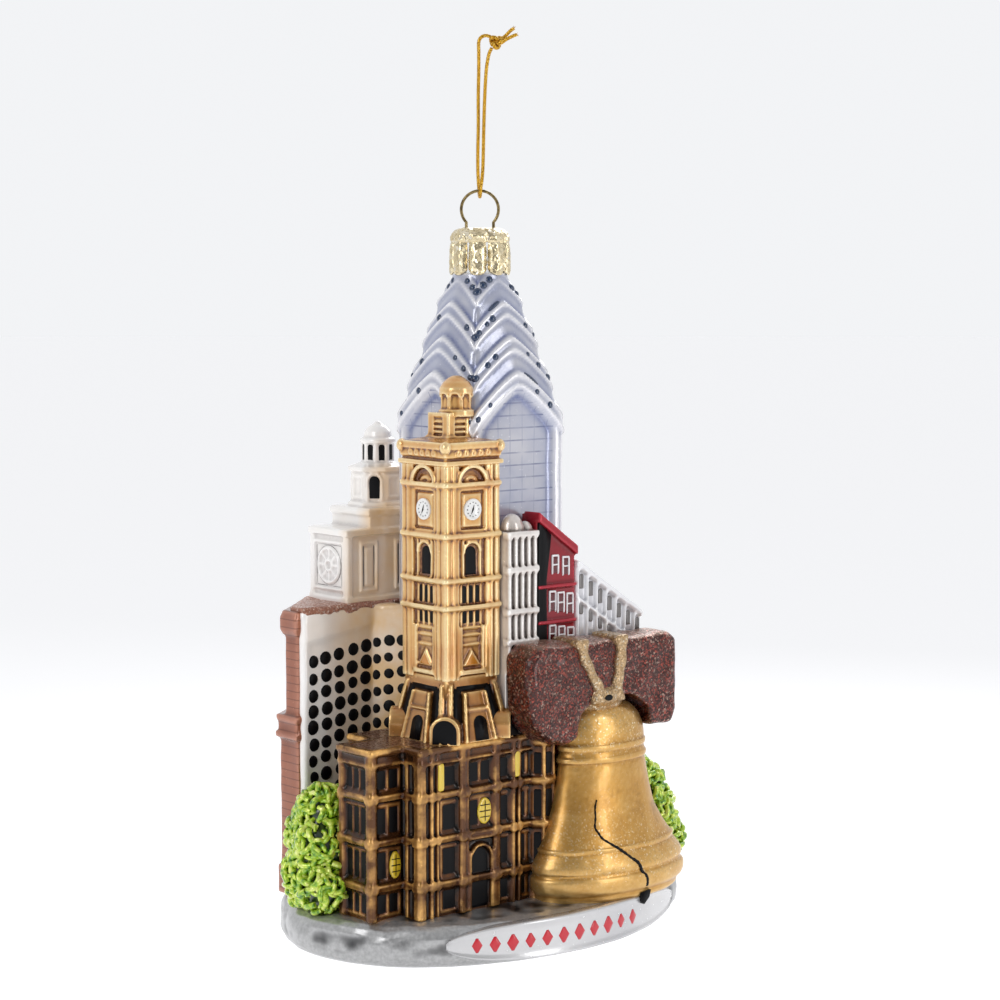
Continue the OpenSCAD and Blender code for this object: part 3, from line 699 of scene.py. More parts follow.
sash = maths(tree, "MAXIMUM", line_mask(tree, wall_axes.outputs["Y"], 2.45, 0.30),
             maths(tree, "MULTIPLY", line_mask(tree, wall_axes.outputs["X"], 3.1, 0.16), 0.75))
on_wall = maths(tree, "MULTIPLY", maths(tree, "LESS_THAN", maths(tree, "ABSOLUTE", wall_axes.outputs["X"]), 9.2),
                maths(tree, "LESS_THAN", maths(tree, "ADD", wall_axes.outputs["Y"],
                                               maths(tree, "MULTIPLY", maths(tree, "ABSOLUTE", wall_axes.outputs["X"]), 0.9)), 110.0))
brush = object_noise(tree, 240, 3.0)
sash = maths(tree, "MULTIPLY", maths(tree, "MULTIPLY", sash, on_wall),
             maths(tree, "MULTIPLY", maths(tree, "SUBTRACT", brush.outputs["Fac"], 0.25), 2.2, True))
join(tree, (mix_colour(tree, maths(tree, "MULTIPLY", sash, 0.85), paint.outputs["Color"], (0.11, 0.13, 0.26)), shader.inputs["Base Color"]))


# ---- Moulded forms: how every block below is pressed ---------------------------------------
# Molten glass is blown into a carved mould, so each building is one soft-edged skin. A Mould takes
# closed shapes in street-grid millimetres; a Wall puts ribs, courses, arches and paint on one side.

# A fixed seed, so that the wobble of the pressed skins comes out the same each time.
noise.seed_set(12)


class Mould:
    def __init__(self):
        self.verts = []
        self.faces = []

    def solid(self, points, faces):
        start = len(self.verts)
        self.verts += [tuple(p) for p in points]
        self.faces += [tuple(start + i for i in face) for face in faces]

    def prism(self, rings):
        """A closed skin through rings of points, one beyond the other."""
        n = len(rings[0])
        faces = [tuple(range(n))[::-1], tuple((len(rings) - 1) * n + k for k in range(n))]
        for i in range(len(rings) - 1):
            faces += [(i * n + k, i * n + (k + 1) % n, (i + 1) * n + (k + 1) % n, (i + 1) * n + k) for k in range(n)]
        self.solid([p for ring in rings for p in ring], faces)

    def box(self, low, high):
        (x0, y0, z0), (x1, y1, z1) = low, high
        self.prism([[(x0, y0, z), (x1, y0, z), (x1, y1, z), (x0, y1, z)] for z in (z0, z1)])

    def lathe(self, middle, profile, sides=48, turn=0.0):
        """profile: (radius, height) pairs from the foot up."""
        corners = [turn + 2 * math.pi * k / sides for k in range(sides)]
        self.prism([[(middle[0] + r * math.cos(a), middle[1] + r * math.sin(a), z) for a in corners] for r, z in profile])

    def ball(self, middle, radii, sides=24, rings=12):
        x, y, z = middle
        self.prism([
            [(x + radii[0] * math.sin(t) * math.cos(a), y + radii[1] * math.sin(t) * math.sin(a), z - radii[2] * math.cos(t))
             for a in [2 * math.pi * k / sides for k in range(sides)]]
            for t in [max(0.02, math.pi * i / rings) - (0.02 if i == rings else 0) for i in range(rings + 1)]
        ])

    def press(self, name, voxel, soften=2, wobble=0.06):
        """The union of the shapes as one skin, softened, with its hollows and ridges marked."""
        soup = bpy.data.meshes.new(name + "_shapes")
        soup.from_pydata(self.verts, [], self.faces)
        blank = link(name + "_blank", soup)
        remesh = blank.modifiers.new("mould", "REMESH")
        remesh.mode = "VOXEL"
        remesh.voxel_size = voxel
        mesh = bpy.data.meshes.new_from_object(blank.evaluated_get(bpy.context.evaluated_depsgraph_get()))
        mesh.name = name
        bpy.data.objects.remove(blank)
        bpy.data.meshes.remove(soup)
        points = relax(mesh_points(mesh), mesh_edges(mesh), soften)
        if wobble:
            points += np.array([noise.noise_vector(Vector(p) * 0.24) for p in points]) * wobble
        mesh.vertices.foreach_set("co", points.ravel())
        mesh.update()
        mark_relief(mesh, 1.1 * voxel, 18)
        mesh.shade_smooth()
        return mesh

    def paint(self, name, material):
        """The shapes as they are: thin domed strokes of enamel on the skin."""
        mesh = bpy.data.meshes.new(name)
        mesh.from_pydata(self.verts, [], self.faces)
        work = bmesh.new()
        work.from_mesh(mesh)
        bmesh.ops.recalc_face_normals(work, faces=work.faces)
        work.to_mesh(mesh)
        work.free()
        mesh.attributes.new("relief", "FLOAT", "POINT")
        mesh.shade_smooth()
        return mesh, material


def box_outline(u0, u1, z0, z1):
    return [(u0, z0), (u1, z0), (u1, z1), (u0, z1)]


def soft_box_outline(u0, u1, z0, z1, r=0.35, steps=3):
    r = min(r, (u1 - u0) / 2.01, (z1 - z0) / 2.01)
    corners = ((u1 - r, z0 + r, -90), (u1 - r, z1 - r, 0), (u0 + r, z1 - r, 90), (u0 + r, z0 + r, 180))
    return [(u + r * math.cos(math.radians(a + 90 * k / steps)), z + r * math.sin(math.radians(a + 90 * k / steps)))
            for u, z, a in corners for k in range(steps + 1)]


def arch_outline(u, half, z0, z1, steps=10):
    rise = min(half, z1 - z0)
    return [(u - half, z0), (u + half, z0)] + [
        (u + half * math.cos(math.pi * k / steps), z1 - rise + rise * math.sin(math.pi * k / steps)) for k in range(steps + 1)]


def oval_outline(u, z, ru, rz, sides=20):
    return [(u + ru * math.cos(2 * math.pi * k / sides), z + rz * math.sin(2 * math.pi * k / sides)) for k in range(sides)]


class Wall:
    """One side of a block: u runs along it from its middle, z is height, d stands out from it."""

    def __init__(self, middle, out):
        self.middle = Vector((*middle, 0))
        self.out = Vector((*out, 0))
        self.along = Vector((-out[1], out[0], 0))

    def at(self, u, z, d):
        return self.middle + self.along * u + self.out * d + Vector((0, 0, z))

    def plate(self, mould, outline, d0, d1):
        mould.prism([[self.at(u, z, d) for u, z in outline] for d in (d0, d1)])

    def bar(self, mould, u0, u1, z0, z1, d0, d1):
        self.plate(mould, box_outline(u0, u1, z0, z1), d0, d1)

    def frame(self, mould, u0, u1, z0, z1, width, d0, d1):
        self.bar(mould, u0 - width, u0, z0 - width, z1 + width, d0, d1)
        self.bar(mould, u1, u1 + width, z0 - width, z1 + width, d0, d1)
        self.bar(mould, u0, u1, z1, z1 + width, d0, d1)
        self.bar(mould, u0, u1, z0 - width, z0, d0, d1)

    def arc(self, mould, u, z, r, width, d0, d1, start=0, stop=180, steps=12, squash=1.0):
        """A bent rib round (u, z), from one angle to another."""
        for k in range(steps):
            a0 = math.radians(start + (stop - start) * k / steps)
            a1 = math.radians(start + (stop - start) * (k + 1.15) / steps)
            outline = [(u + (r + s) * math.cos(a), z + squash * (r + s) * math.sin(a))
                       for s, a in ((-width / 2, a0), (width / 2, a0), (width / 2, a1), (-width / 2, a1))]
            self.plate(mould, outline, d0, d1)

    def dab(self, mould, outline, d=0.0, lift=0.14):
        """A domed stroke of enamel: a skirt in the glass, an edge, and a smaller raised top."""
        u0 = sum(u for u, z in outline) / len(outline)
        z0 = sum(z for u, z in outline) / len(outline)
        shaky = [(u + 0.07 * noise.noise(Vector((u, z, 3.1))), z + 0.07 * noise.noise(Vector((u, z, 8.7)))) for u, z in outline]
        mould.prism([
            [self.at(u0 + (u - u0) * share, z0 + (z - z0) * share, d + rise) for u, z in shaky]
            for share, rise in ((1, -0.3), (1, lift * 0.45), (0.93, lift * 0.8), (0.8, lift))
        ])


def weld(name, parts):
    """One mesh in the shared frame from several on the street grid, each with its material."""
    work = bmesh.new()
    for index, (mesh, material) in enumerate(parts):
        mesh.polygons.foreach_set("material_index", np.full(len(mesh.polygons), index, np.int32))
        work.from_mesh(mesh)
    whole = bpy.data.meshes.new(name)
    work.to_mesh(whole)
    work.free()
    whole.transform(GRID)
    whole.shade_smooth()
    for mesh, material in parts:
        whole.materials.append(material)
        bpy.data.meshes.remove(mesh)
    return link(name, whole)


def glass_piece(name, nodes, parts):
    piece = weld(name, parts)
    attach(piece, "glass")
    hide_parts(*nodes)
    return piece


def enamel(name, colour, roughness=0.12, metallic=0.0, coat=0.8, gloss=0.5):
    material, tree, shader = new_material(name)
    pool = object_noise(tree, 700, 2.0)
    shade = mix_colour(tree, maths(tree, "MULTIPLY", pool.outputs["Fac"], 0.35), colour, tuple(c * 0.55 for c in colour))
    join(tree, (shade, shader.inputs["Base Color"]))
    set_shader(shader, roughness=roughness, metallic=metallic, coat_weight=coat, coat_roughness=0.04)
    shader.inputs["Specular IOR Level"].default_value = gloss
    return material


# Dots and strokes of dark blue enamel follow the folds of the skyscraper's crown.
blue_enamel = enamel("blue_enamel", (0.006, 0.028, 0.085), 0.2)
sky_dots = Mould()
dice = random.Random(3)


def fold_height(fold, s, up):
    """Height of a ribbon at s along a side, where up is the level over the ribbon's lower edge."""
    level = FOLD_FIRST + fold * FOLD_STEP + up
    z = level + 9
    for _ in range(12):
        lean = min(1, max(0, (z - CROWN_FOOT) / (CROWN_TOP - CROWN_FOOT)))
        z = level + FOLD_SLOPE * (SKY_HALF - (SKY_HALF - CROWN_HALF) * lean) * (1.02 - math.sqrt(s * s + 0.012))
    return z


for side in range(4):
    for fold in range(FOLDS):
        for s in (-0.86, -0.62, -0.38, 0.40, 0.66, 0.90):
            by_near_corner = (side == 0 and s < 0) or (side == 3 and s > 0)
            if dice.random() < (0.06 if by_near_corner else 0.55):
                continue
            s += dice.uniform(-0.05, 0.05)
            z = fold_height(fold, s, RIBBON * 0.5)
            p = sky_surface(z, side, s)
            r = dice.uniform(0.82, 1.02)
            turn = side * math.pi / 2
            out = Vector((math.sin(turn), -math.cos(turn), 0.18))
            if z < CROWN_TOP - 1:
                sky_dots.ball(p - out * 0.6, (r, r, r), 16, 8)
for side, fold, s0, s1 in ((0, 0, 0.16, 0.46), (0, 2, -0.5, -0.15), (2, 1, 0.1, 0.4)):
    stroke = [sky_surface(fold_height(fold, s0 + (s1 - s0) * k / 10, RIBBON + 0.9), side, s0 + (s1 - s0) * k / 10) for k in range(11)]
    for i, (a, b) in enumerate(zip(stroke, stroke[1:])):
        r = 0.14 + 0.22 * math.sin(math.pi * (i + 1) / 12)
        sky_dots.ball((a + b) / 2, (r * 1.5, r * 1.5, r), 10, 6)
glass_piece("skyscraper", ["skyscraper_shaft", "skyscraper_crown"], [
    (sky_mesh, pearl_blue), sky_dots.paint("sky_dots", blue_enamel)])

# ---- Clock tower ----------------------------------------------------------------------------
# A square tower in cream and gold lacquer: paired ribs at the corners, courses, arched heads, a
# dial frame on each side, black arched and triple windows, and a niche under a little gable.
tower_low, tower_high = grid_box("clock_tower_shaft")
belfry_low, belfry_high = grid_box("clock_tower_belfry")
dome_low, dome_high = grid_box("clock_tower_dome")
TOWER_X = (belfry_low.x + belfry_high.x) / 2 if belfry_high.x < -7 else dome_low.x + (dome_high.x - dome_low.x) / 2
TOWER_Y = (dome_low.y + dome_high.y) / 2
TOWER_HALF = TOWER_X - tower_low.x
TOWER_FOOT = tower_low.z
TOWER_TOP = tower_high.z
SIDES = ((0, -1), (-1, 0), (1, 0), (0, 1))

black_enamel = enamel("black_enamel", (0.002, 0.002, 0.003), 0.45, 0.0, 0.04, 0.14)
tower_gold, tree, shader, paint = lacquered(
    "tower_gold", 0.45, 0.7, colour=(0.74, 0.42, 0.13), hollow=(0.13, 0.035, 0.006), ridge=(0.98, 0.80, 0.45),
    hollow_amount=2.9, ridge_amount=1.25, wash=(0.56, 0.21, 0.035), wash_amount=0.75, wash_scale=130.0)

shaft = Mould()
black = Mould()
amber = Mould()
shaft.box((TOWER_X - TOWER_HALF + 0.6, TOWER_Y - TOWER_HALF + 0.6, TOWER_FOOT - 1),
          (TOWER_X + TOWER_HALF - 0.6, TOWER_Y + TOWER_HALF - 0.6, TOWER_TOP + 0.5))
COURSES = (91.6, 81.7, 73.1, 67.8)
for out in SIDES:
    wall = Wall((TOWER_X + out[0] * TOWER_HALF, TOWER_Y + out[1] * TOWER_HALF), out)
    half = TOWER_HALF
    for side in (-1, 1):
        for u, width, proud in ((half - 0.55, 1.1, 0.35), (half - 1.95, 0.75, 0.45), (half - 3.0, 0.65, 0.3)):
            wall.bar(shaft, side * u - width / 2, side * u + width / 2, TOWER_FOOT, TOWER_TOP, -1, proud - 0.1)
    for z in COURSES:
        wall.bar(shaft, -half - 0.3, half + 0.3, z - 0.38, z + 0.38, -1, 0.62)
        wall.bar(shaft, -half, half, z - 0.7, z - 0.2, -1, 0.25)
    # arched head over the dial, with a swelling inside it
    wall.arc(shaft, 0, COURSES[0], 3.5, 0.85, -1, 0.5)
    wall.arc(shaft, 0, COURSES[0] + 0.3, 1.3, 0.8, -1, -0.25, squash=0.7)
    wall.frame(shaft, -2.9, 2.9, COURSES[1] + 1.1, COURSES[0] - 1.3, 0.5, -1, 0.1)
    wall.bar(shaft, -2.3, 2.3, COURSES[1] + 1.7, COURSES[0] - 1.9, -1, -0.1)
    # window in its arched frame, and two bands of three lights
    wall.frame(shaft, -1.9, 1.9, COURSES[2] + 0.6, COURSES[1] - 1.0, 0.5, -1, 0.0)
    wall.arc(shaft, 0, 78.4, 2.0, 0.55, -1, 0.15, 0, 180)
    wall.dab(black, arch_outline(0, 1.35, 74.0, 79.5), -0.62)
    for z0, z1, lights in ((68.5, 71.9, 3), (64.6, 67.2, 3)):
        for k in range(lights):
            u = (k - 1) * 1.62
            wall.dab(black, arch_outline(u, 0.62, z0, z1), -0.62)
        for u in (-2.45, -0.81, 0.81, 2.45):
            wall.bar(shaft, u - 0.16, u + 0.16, z0 - 0.3, z1 + 0.4, -1, -0.3)
    # niche with its gable, in a U-shaped frame
    wall.bar(shaft, -3.1, 3.1, 54.6, 55.5, -1, 0.35)
    for side in (-1, 1):
        wall.bar(shaft, side * 2.7 - 0.3, side * 2.7 + 0.3, 55, 64, -1, 0.12)
    for z in (60.4, 62.3, 63.7):
        wall.bar(shaft, -2.2, 2.2, z - 0.14, z + 0.14, -1, -0.32)
    wall.plate(shaft, [(-2.2, 56.3), (2.2, 56.3), (0, 59.4)], -1, -0.12)
    wall.dab(amber, [(-1.6, 56.5), (1.6, 56.5), (0, 58.7)], -0.18, 0.1)
orange_enamel = enamel("orange_enamel", (0.62, 0.24, 0.02), 0.2, 0.4)
glass_piece("clock_tower", ["clock_tower_shaft"], [
    (shaft.press("tower", 0.225), tower_gold), black.paint("tower_windows", black_enamel), amber.paint("niches", orange_enamel)])

# Belfry: a moulded cornice with corner balls, a sloping roof, a louvred stage and a small dome
# with niches. It is gold over the whole height, with brown in the louvres.
belfry = Mould()
louvres = Mould()
CORNICE_TOP = TOWER_TOP + 4.4
STAGE_TOP = dome_low.z
STAGE_HALF = 2.9
half = TOWER_HALF
square = [((half + 0.1), TOWER_TOP - 0.4), (half + 0.1, CORNICE_TOP - 0.2), (half * 0.8, CORNICE_TOP + 0.2), (STAGE_HALF + 0.8, CORNICE_TOP + 0.5),
          (STAGE_HALF - 0.4, CORNICE_TOP + 1.0), (STAGE_HALF - 0.4, STAGE_TOP)]
belfry.lathe((TOWER_X, TOWER_Y), [(r * math.sqrt(2), z) for r, z in square], 4, math.pi / 4)
for out in SIDES:
    wall = Wall((TOWER_X + out[0] * half, TOWER_Y + out[1] * half), out)
    wall.bar(belfry, -half - 0.6, half + 0.6, TOWER_TOP - 0.1, TOWER_TOP + 0.8, -1, 0.75)
    wall.bar(belfry, -half - 0.4, half + 0.4, TOWER_TOP + 1.5, CORNICE_TOP - 1.5, -1, 0.4)
    wall.bar(belfry, -half - 0.5, half + 0.5, CORNICE_TOP - 1.3, CORNICE_TOP, -1, 0.7)
    for u in (-3.6, -1.8, 0, 1.8, 3.6):
        wall.arc(belfry, u, TOWER_TOP + 2.2, 0.45, 0.35, -1, 0.62, 0, 360, 8)
    stage = Wall((TOWER_X + out[0] * STAGE_HALF, TOWER_Y + out[1] * STAGE_HALF), out)
    for side in (-1, 1):
        stage.bar(belfry, side * 2.75 - 0.45, side * 2.75 + 0.45, CORNICE_TOP + 0.3, STAGE_TOP + 0.2, -1.5, 0.3)
    stage.bar(belfry, -2.9, 2.9, STAGE_TOP - 0.5, STAGE_TOP + 0.2, -1.5, 0.35)
    stage.bar(belfry, -3.4, 3.4, CORNICE_TOP + 0.2, CORNICE_TOP + 0.9, -1.5, 0.6)
    for k in range(4):
        z = CORNICE_TOP + 1.65 + 1.0 * k
        stage.bar(belfry, -2.3, 2.3, z - 0.27, z + 0.27, -1.5, 0.12)
    stage.dab(louvres, box_outline(-2.3, 2.3, CORNICE_TOP + 0.9, STAGE_TOP - 0.6), -0.4, 0.05)
for x, y in ((-1, -1), (-1, 1), (1, -1), (1, 1)):
    belfry.ball((TOWER_X + x * (half + 0.1), TOWER_Y + y * (half + 0.1), CORNICE_TOP - 1.0), (1.1, 1.1, 1.3))
DOME = (TOWER_X + 0.8, TOWER_Y - 0.8)
dome = [(3.5, STAGE_TOP - 0.6), (3.5, STAGE_TOP + 0.7), (3.0, STAGE_TOP + 0.8), (2.75, STAGE_TOP + 3.6), (3.35, STAGE_TOP + 3.9),
        (3.3, STAGE_TOP + 4.9), (2.5, STAGE_TOP + 6.1), (1.5, STAGE_TOP + 6.9), (0.7, STAGE_TOP + 7.3)]
belfry.lathe(DOME, dome, 32)
for k in range(8):
    turn = math.pi / 8 + math.pi * k / 4
    out = (math.cos(turn), math.sin(turn))
    rib = Wall((DOME[0] + out[0] * 2.8, DOME[1] + out[1] * 2.8), out)
    rib.bar(belfry, -0.33, 0.33, STAGE_TOP, STAGE_TOP + 4.2, -1, 0.32)
    niche = math.pi * k / 4
    out = (math.cos(niche), math.sin(niche))
    hood = Wall((DOME[0] + out[0] * 2.9, DOME[1] + out[1] * 2.9), out)
    hood.arc(belfry, 0, STAGE_TOP + 3.2, 0.95, 0.4, -1, 0.35)
    hood.dab(louvres, arch_outline(0, 0.6, STAGE_TOP + 1.2, STAGE_TOP + 3.4), -0.28, 0.06)
brown_enamel = enamel("brown_enamel", (0.10, 0.028, 0.006), 0.4, 0.2, 0.2)
glass_piece("clock_tower_head", ["clock_tower_belfry", "clock_tower_dome"], [
    (belfry.press("belfry", 0.18), tower_gold), louvres.paint("louvre_shadow", brown_enamel)])

# Dials: flat white discs with a raised rim, twelve strokes and two black hands.
dial_low, dial_high = grid_box("clock_dials")
DIAL_Z = (dial_low.z + dial_high.z) / 2
DIAL_R = (dial_high.z - dial_low.z) / 2
dials = Mould()
hands = Mould()
for out in SIDES[:2]:
    wall = Wall((TOWER_X + out[0] * TOWER_HALF, TOWER_Y + out[1] * TOWER_HALF), out)
    rings = [(DIAL_R, -0.4), (DIAL_R, 0.22), (DIAL_R - 0.14, 0.34), (DIAL_R - 0.3, 0.3), (DIAL_R - 0.42, 0.2), (0.1, 0.22)]
    dials.prism([[wall.at(u, z, d) for u, z in oval_outline(0, DIAL_Z, r, r, 40)] for r, d in rings])
    for k in range(12):
        turn = math.pi * k / 6
        wall.dab(hands, oval_outline(1.38 * math.sin(turn), DIAL_Z + 1.38 * math.cos(turn), 0.12, 0.12, 8), 0.2, 0.06)
    for turn, reach, width in ((math.radians(205), 1.05, 0.2), (math.radians(15), 0.95, 0.17)):
        tip = (reach * math.sin(turn), reach * math.cos(turn))
        across = (math.cos(turn) * width, -math.sin(turn) * width)
        wall.dab(hands, [(-across[0], DIAL_Z - across[1]), (tip[0], DIAL_Z + tip[1]), (across[0], DIAL_Z + across[1]),
                         (-tip[0] * 0.2, DIAL_Z - tip[1] * 0.2)], 0.22, 0.1)
dial_white = enamel("dial_white", (0.93, 0.92, 0.90), 0.25)
glass_piece("clock_faces", ["clock_dials"],
            [dials.paint("dials", dial_white), hands.paint("hands", black_enamel)])

# Tower foot: buttresses that flare down to the hall's roof, with a gold panel and a black arch on
# each side and a black dormer on three of its four corners.
foot_low, foot_high = grid_box("tower_buttresses")
ROOF_Z = foot_low.z
FLARE = TOWER_X - foot_low.x
flare = Mould()
voids = Mould()
foot_shade = Mould()
flare.lathe((TOWER_X, TOWER_Y), [((FLARE - 0.2) * math.sqrt(2), ROOF_Z - 0.5), ((FLARE - 1.2) * math.sqrt(2), ROOF_Z + 3.5),
                                 ((TOWER_HALF - 0.1) * math.sqrt(2), ROOF_Z + 8.5), ((TOWER_HALF - 0.2) * math.sqrt(2), TOWER_FOOT + 0.6)],
            4, math.pi / 4)


def flare_at(z):
    """How far the sloping foot stands out from the tower's axis at a height."""
    rise = z - ROOF_Z
    return FLARE - 0.2 - (1.0 * rise / 3.5 if rise < 3.5 else 1.0 + (FLARE - 1.1 - TOWER_HALF) * min(1, (rise - 3.5) / 5))


SLAB_TOP = 9.6


def slab_at(z):
    """The flat slab in the middle of each side leans straight from the roof to the shaft."""
    share = (z - ROOF_Z) / SLAB_TOP
    return flare_at(ROOF_Z) * (1 - share) + flare_at(ROOF_Z + SLAB_TOP) * share


def sloped(mould, wall, skin, outline, lift, depth=1.0):
    """A plate laid on the sloping foot; its outline counts height from the hall's roof."""
    mould.prism([[wall.at(u, ROOF_Z + h, skin(ROOF_Z + h) + d) for u, h in outline] for d in (-depth, lift)])


for out in SIDES:
    wall = Wall((TOWER_X, TOWER_Y), out)
    for side in (-1, 1):
        sloped(flare, wall, slab_at, [(side * 8.2, 0), (side * 6.9, 0), (side * 4.9, 11.2), (side * 5.8, 11.2)], 0.75)
        sloped(flare, wall, slab_at, [(side * 4.1, 0), (side * 3.3, 0), (side * 2.1, SLAB_TOP), (side * 2.8, SLAB_TOP)], 1.1)
        # painted shade: a black strip in the recess beside the outer buttress
        sloped(foot_shade, wall, slab_at, [(side * 6.6, 0.2), (side * 4.4, 0.2), (side * 2.95, 9.8), (side * 4.5, 10.6)], 0.22)
    sloped(flare, wall, slab_at, [(-4.0, 0), (4.0, 0), (2.7, SLAB_TOP), (-2.7, SLAB_TOP)], 0.75)
    # painted shade: a black band under the foot of the shaft
    sloped(foot_shade, wall, slab_at, [(-4.3, 9.8), (4.3, 9.8), (3.6, 11.4), (-3.6, 11.4)], 0.2)
    sloped(flare, wall, slab_at, [(-2.6, 6.2), (2.6, 6.2), (2.6, 6.6), (-2.6, 6.6)], 1.1)
    sloped(voids, wall, slab_at, arch_outline(0.3, 1.55, 0.3, 5.0), 0.95)
    if out == (0, -1):
        sloped(voids, wall, slab_at, [(5.2, 0.4), (9.4, 0.4), (9.2, 3.2), (7.6, 4.8), (5.8, 3.9)], 1.0)
for x, y in ((-1, -1), (-1, 1), (1, -1)):
    out = (x / math.sqrt(2), y / math.sqrt(2))
    dormer = Wall((TOWER_X + x * (FLARE - 0.7), TOWER_Y + y * (FLARE - 0.7)), out)
    dormer.plate(flare, arch_outline(0, 3.0, ROOF_Z, ROOF_Z + 5.6), -4.5, 0.5)
    dormer.dab(voids, arch_outline(0, 2.35, ROOF_Z + 0.3, ROOF_Z + 5.0), 0.5)
foot_gold, tree, shader, paint = lacquered(
    "foot_gold", 0.6, 0.7, colour=(0.48, 0.22, 0.05), hollow=(0.05, 0.014, 0.004), ridge=(0.95, 0.66, 0.28),
    hollow_amount=2.1, ridge_amount=1.3, wash=(0.27, 0.085, 0.015), wash_amount=0.6, wash_scale=150.0)
glass_piece("tower_foot", ["tower_buttresses"], [
    (flare.press("flare", 0.22), foot_gold), voids.paint("voids", black_enamel), foot_shade.paint("foot_shade", black_enamel)])

# ---- Hall -------------------------------------------------------------------------------------
# A four-storey palace in dark brown lacquer with gold rubbed over its ribs: a projecting pavilion,
# a wing with a flat glittered roof, black paired windows and a few lit ones in yellow enamel.
hall_low, hall_high = grid_box("hall_pavilion")
wing_low, wing_high = grid_box("hall_wing")
hall_gold, tree, shader, paint = lacquered(
    "hall_gold", 0.5, 0.25, colour=(0.085, 0.028, 0.008), hollow=(0.004, 0.002, 0.001), ridge=(0.88, 0.50, 0.15),
    hollow_amount=2.2, ridge_amount=1.35, wash=(0.25, 0.09, 0.02), wash_amount=0.6, wash_scale=150.0, rub=0.95)
shader.inputs["Specular IOR Level"].default_value = 0.3
yellow_enamel = enamel("yellow_enamel", (0.80, 0.56, 0.03), 0.15)

BELTS = (32.4, 23.8, 15.0)
STOREYS = ((33.7, 38.0), (25.1, 30.6), (16.4, 22.0), (9.6, 13.8))
hall = Mould()
panes = Mould()
lamps = Mould()
muntins = Mould()
INSET = 0.7
HALL_BACK = 5.5
hall.box((hall_low.x + INSET, hall_low.y + INSET, hall_low.z - 0.5), (hall_high.x - 0.2, HALL_BACK, ROOF_Z - 0.4))
hall.box((wing_low.x + INSET, wing_low.y + INSET, hall_low.z - 0.5), (wing_high.x + 1, wing_high.y - 0.2, ROOF_Z - 0.4))


def pane_row(wall, u0, u1, z0, z1, lights, arched=False):
    """Black lights side by side with a thin gold bar between them, in a raised surround."""
    wide = (u1 - u0) / lights
    for k in range(lights):
        left, right = u0 + wide * k + 0.17, u0 + wide * (k + 1) - 0.17
        shape = arch_outline((left + right) / 2, (right - left) / 2, z0, z1) if arched else soft_box_outline(left, right, z0, z1)
        wall.dab(panes, shape, -INSET, 0.12)
    for k in range(1, lights):
        wall.bar(hall, u0 + wide * k - 0.16, u0 + wide * k + 0.16, z0, z1, -1.5, -INSET + 0.32)
    wall.frame(hall, u0, u1, z0, z1, 0.32, -1.5, -INSET + 0.36)


def facade(wall, half, posts, bays, foot=8.5):
    """Belts and a cornice over the whole wall, posts from foot to top, and windows bay by bay."""
    for z in BELTS:
        wall.bar(hall, -half, half, z - 0.75, z + 0.55, -1.5, 0.25)
        wall.bar(hall, -half, half, z + 0.1, z + 0.6, -1.5, 0.5)
    wall.bar(hall, -half, half, ROOF_Z - 3.0, ROOF_Z - 0.5, -1.5, 0.05)
    wall.bar(hall, -half - 0.3, half + 0.3, ROOF_Z - 0.9, ROOF_Z + 0.15, -1.5, 0.55)
    wall.bar(hall, -half, half, ROOF_Z - 3.2, ROOF_Z - 2.7, -1.5, 0.4)
    for u, width, proud in posts:
        wall.bar(hall, u - width / 2, u + width / 2, foot, ROOF_Z, -1.5, proud)
        for z in BELTS:
            wall.bar(hall, u - width / 2 - 0.25, u + width / 2 + 0.25, z - 0.9, z + 0.7, -1.5, proud + 0.25)
    for u0, u1, lights in bays:
        for z0, z1 in STOREYS:
            pane_row(wall, u0, u1, z0, z1, lights)


# street front of the pavilion, from its left corner at u = -15 to its right corner at u = 15
front = Wall(((hall_low.x + hall_high.x) / 2, hall_low.y), (0, -1))
wide = (hall_high.x - hall_low.x) / 2
facade(front, wide, [(-wide + 0.8, 1.6, 0.2), (-wide + 3.0, 0.7, 0.3), (-wide + 4.5, 0.5, 0.2), (-4.6, 1.3, 0.45), (-3.2, 0.5, 0.3),
                     (3.6, 0.6, 0.35), (4.7, 0.5, 0.2), (8.3, 0.8, 0.45), (9.9, 0.6, 0.3), (wide - 0.6, 1.2, 0.3)],
       [(-9.2, -5.6, 1), (5.3, 7.6, 1), (10.7, 13.6, 2)])
for z0, z1 in STOREYS[:2]:
    pane_row(front, -2.6, 2.9, z0, z1, 2)
front.bar(hall, -2.9, 3.2, STOREYS[2][1] + 0.6, STOREYS[2][1] + 1.1, -1.5, 0.45)
front.arc(hall, 0.1, 18.6, 2.75, 0.6, -1.5, 0.4)
for side in (-1, 1):
    front.bar(hall, 0.1 + side * 2.75 - 0.3, 0.1 + side * 2.75 + 0.3, hall_low.z, 18.6, -1.5, 0.4)
front.dab(panes, arch_outline(0.1, 2.4, hall_low.z + 0.4, 21.0), -INSET, 0.12)
for u, z0, z1 in ((-9.9, 33.2, 38.6), (9.1, 33.6, 39.0)):
    front.dab(lamps, soft_box_outline(u - 0.7, u + 0.7, z0, z1, 0.4), 0.12, 0.25)


def lit_oval(wall, u, z, ru, rz, d):
    """A lit window in yellow, crossed by thin black glazing bars."""
    wall.dab(lamps, oval_outline(u, z, ru, rz), d, 0.35)
    for share in (-0.45, 0.0, 0.45):
        reach = ru * math.sqrt(1 - share * share) * 0.8
        wall.dab(muntins, box_outline(u - reach, u + reach, z + share * rz - 0.1, z + share * rz + 0.1), d + 0.3, 0.12)
    wall.dab(muntins, box_outline(u - 0.09, u + 0.09, z - rz * 0.78, z + rz * 0.78), d + 0.3, 0.12)


lit_oval(front, 1.4, 27.8, 1.75, 2.6, -INSET + 0.1)
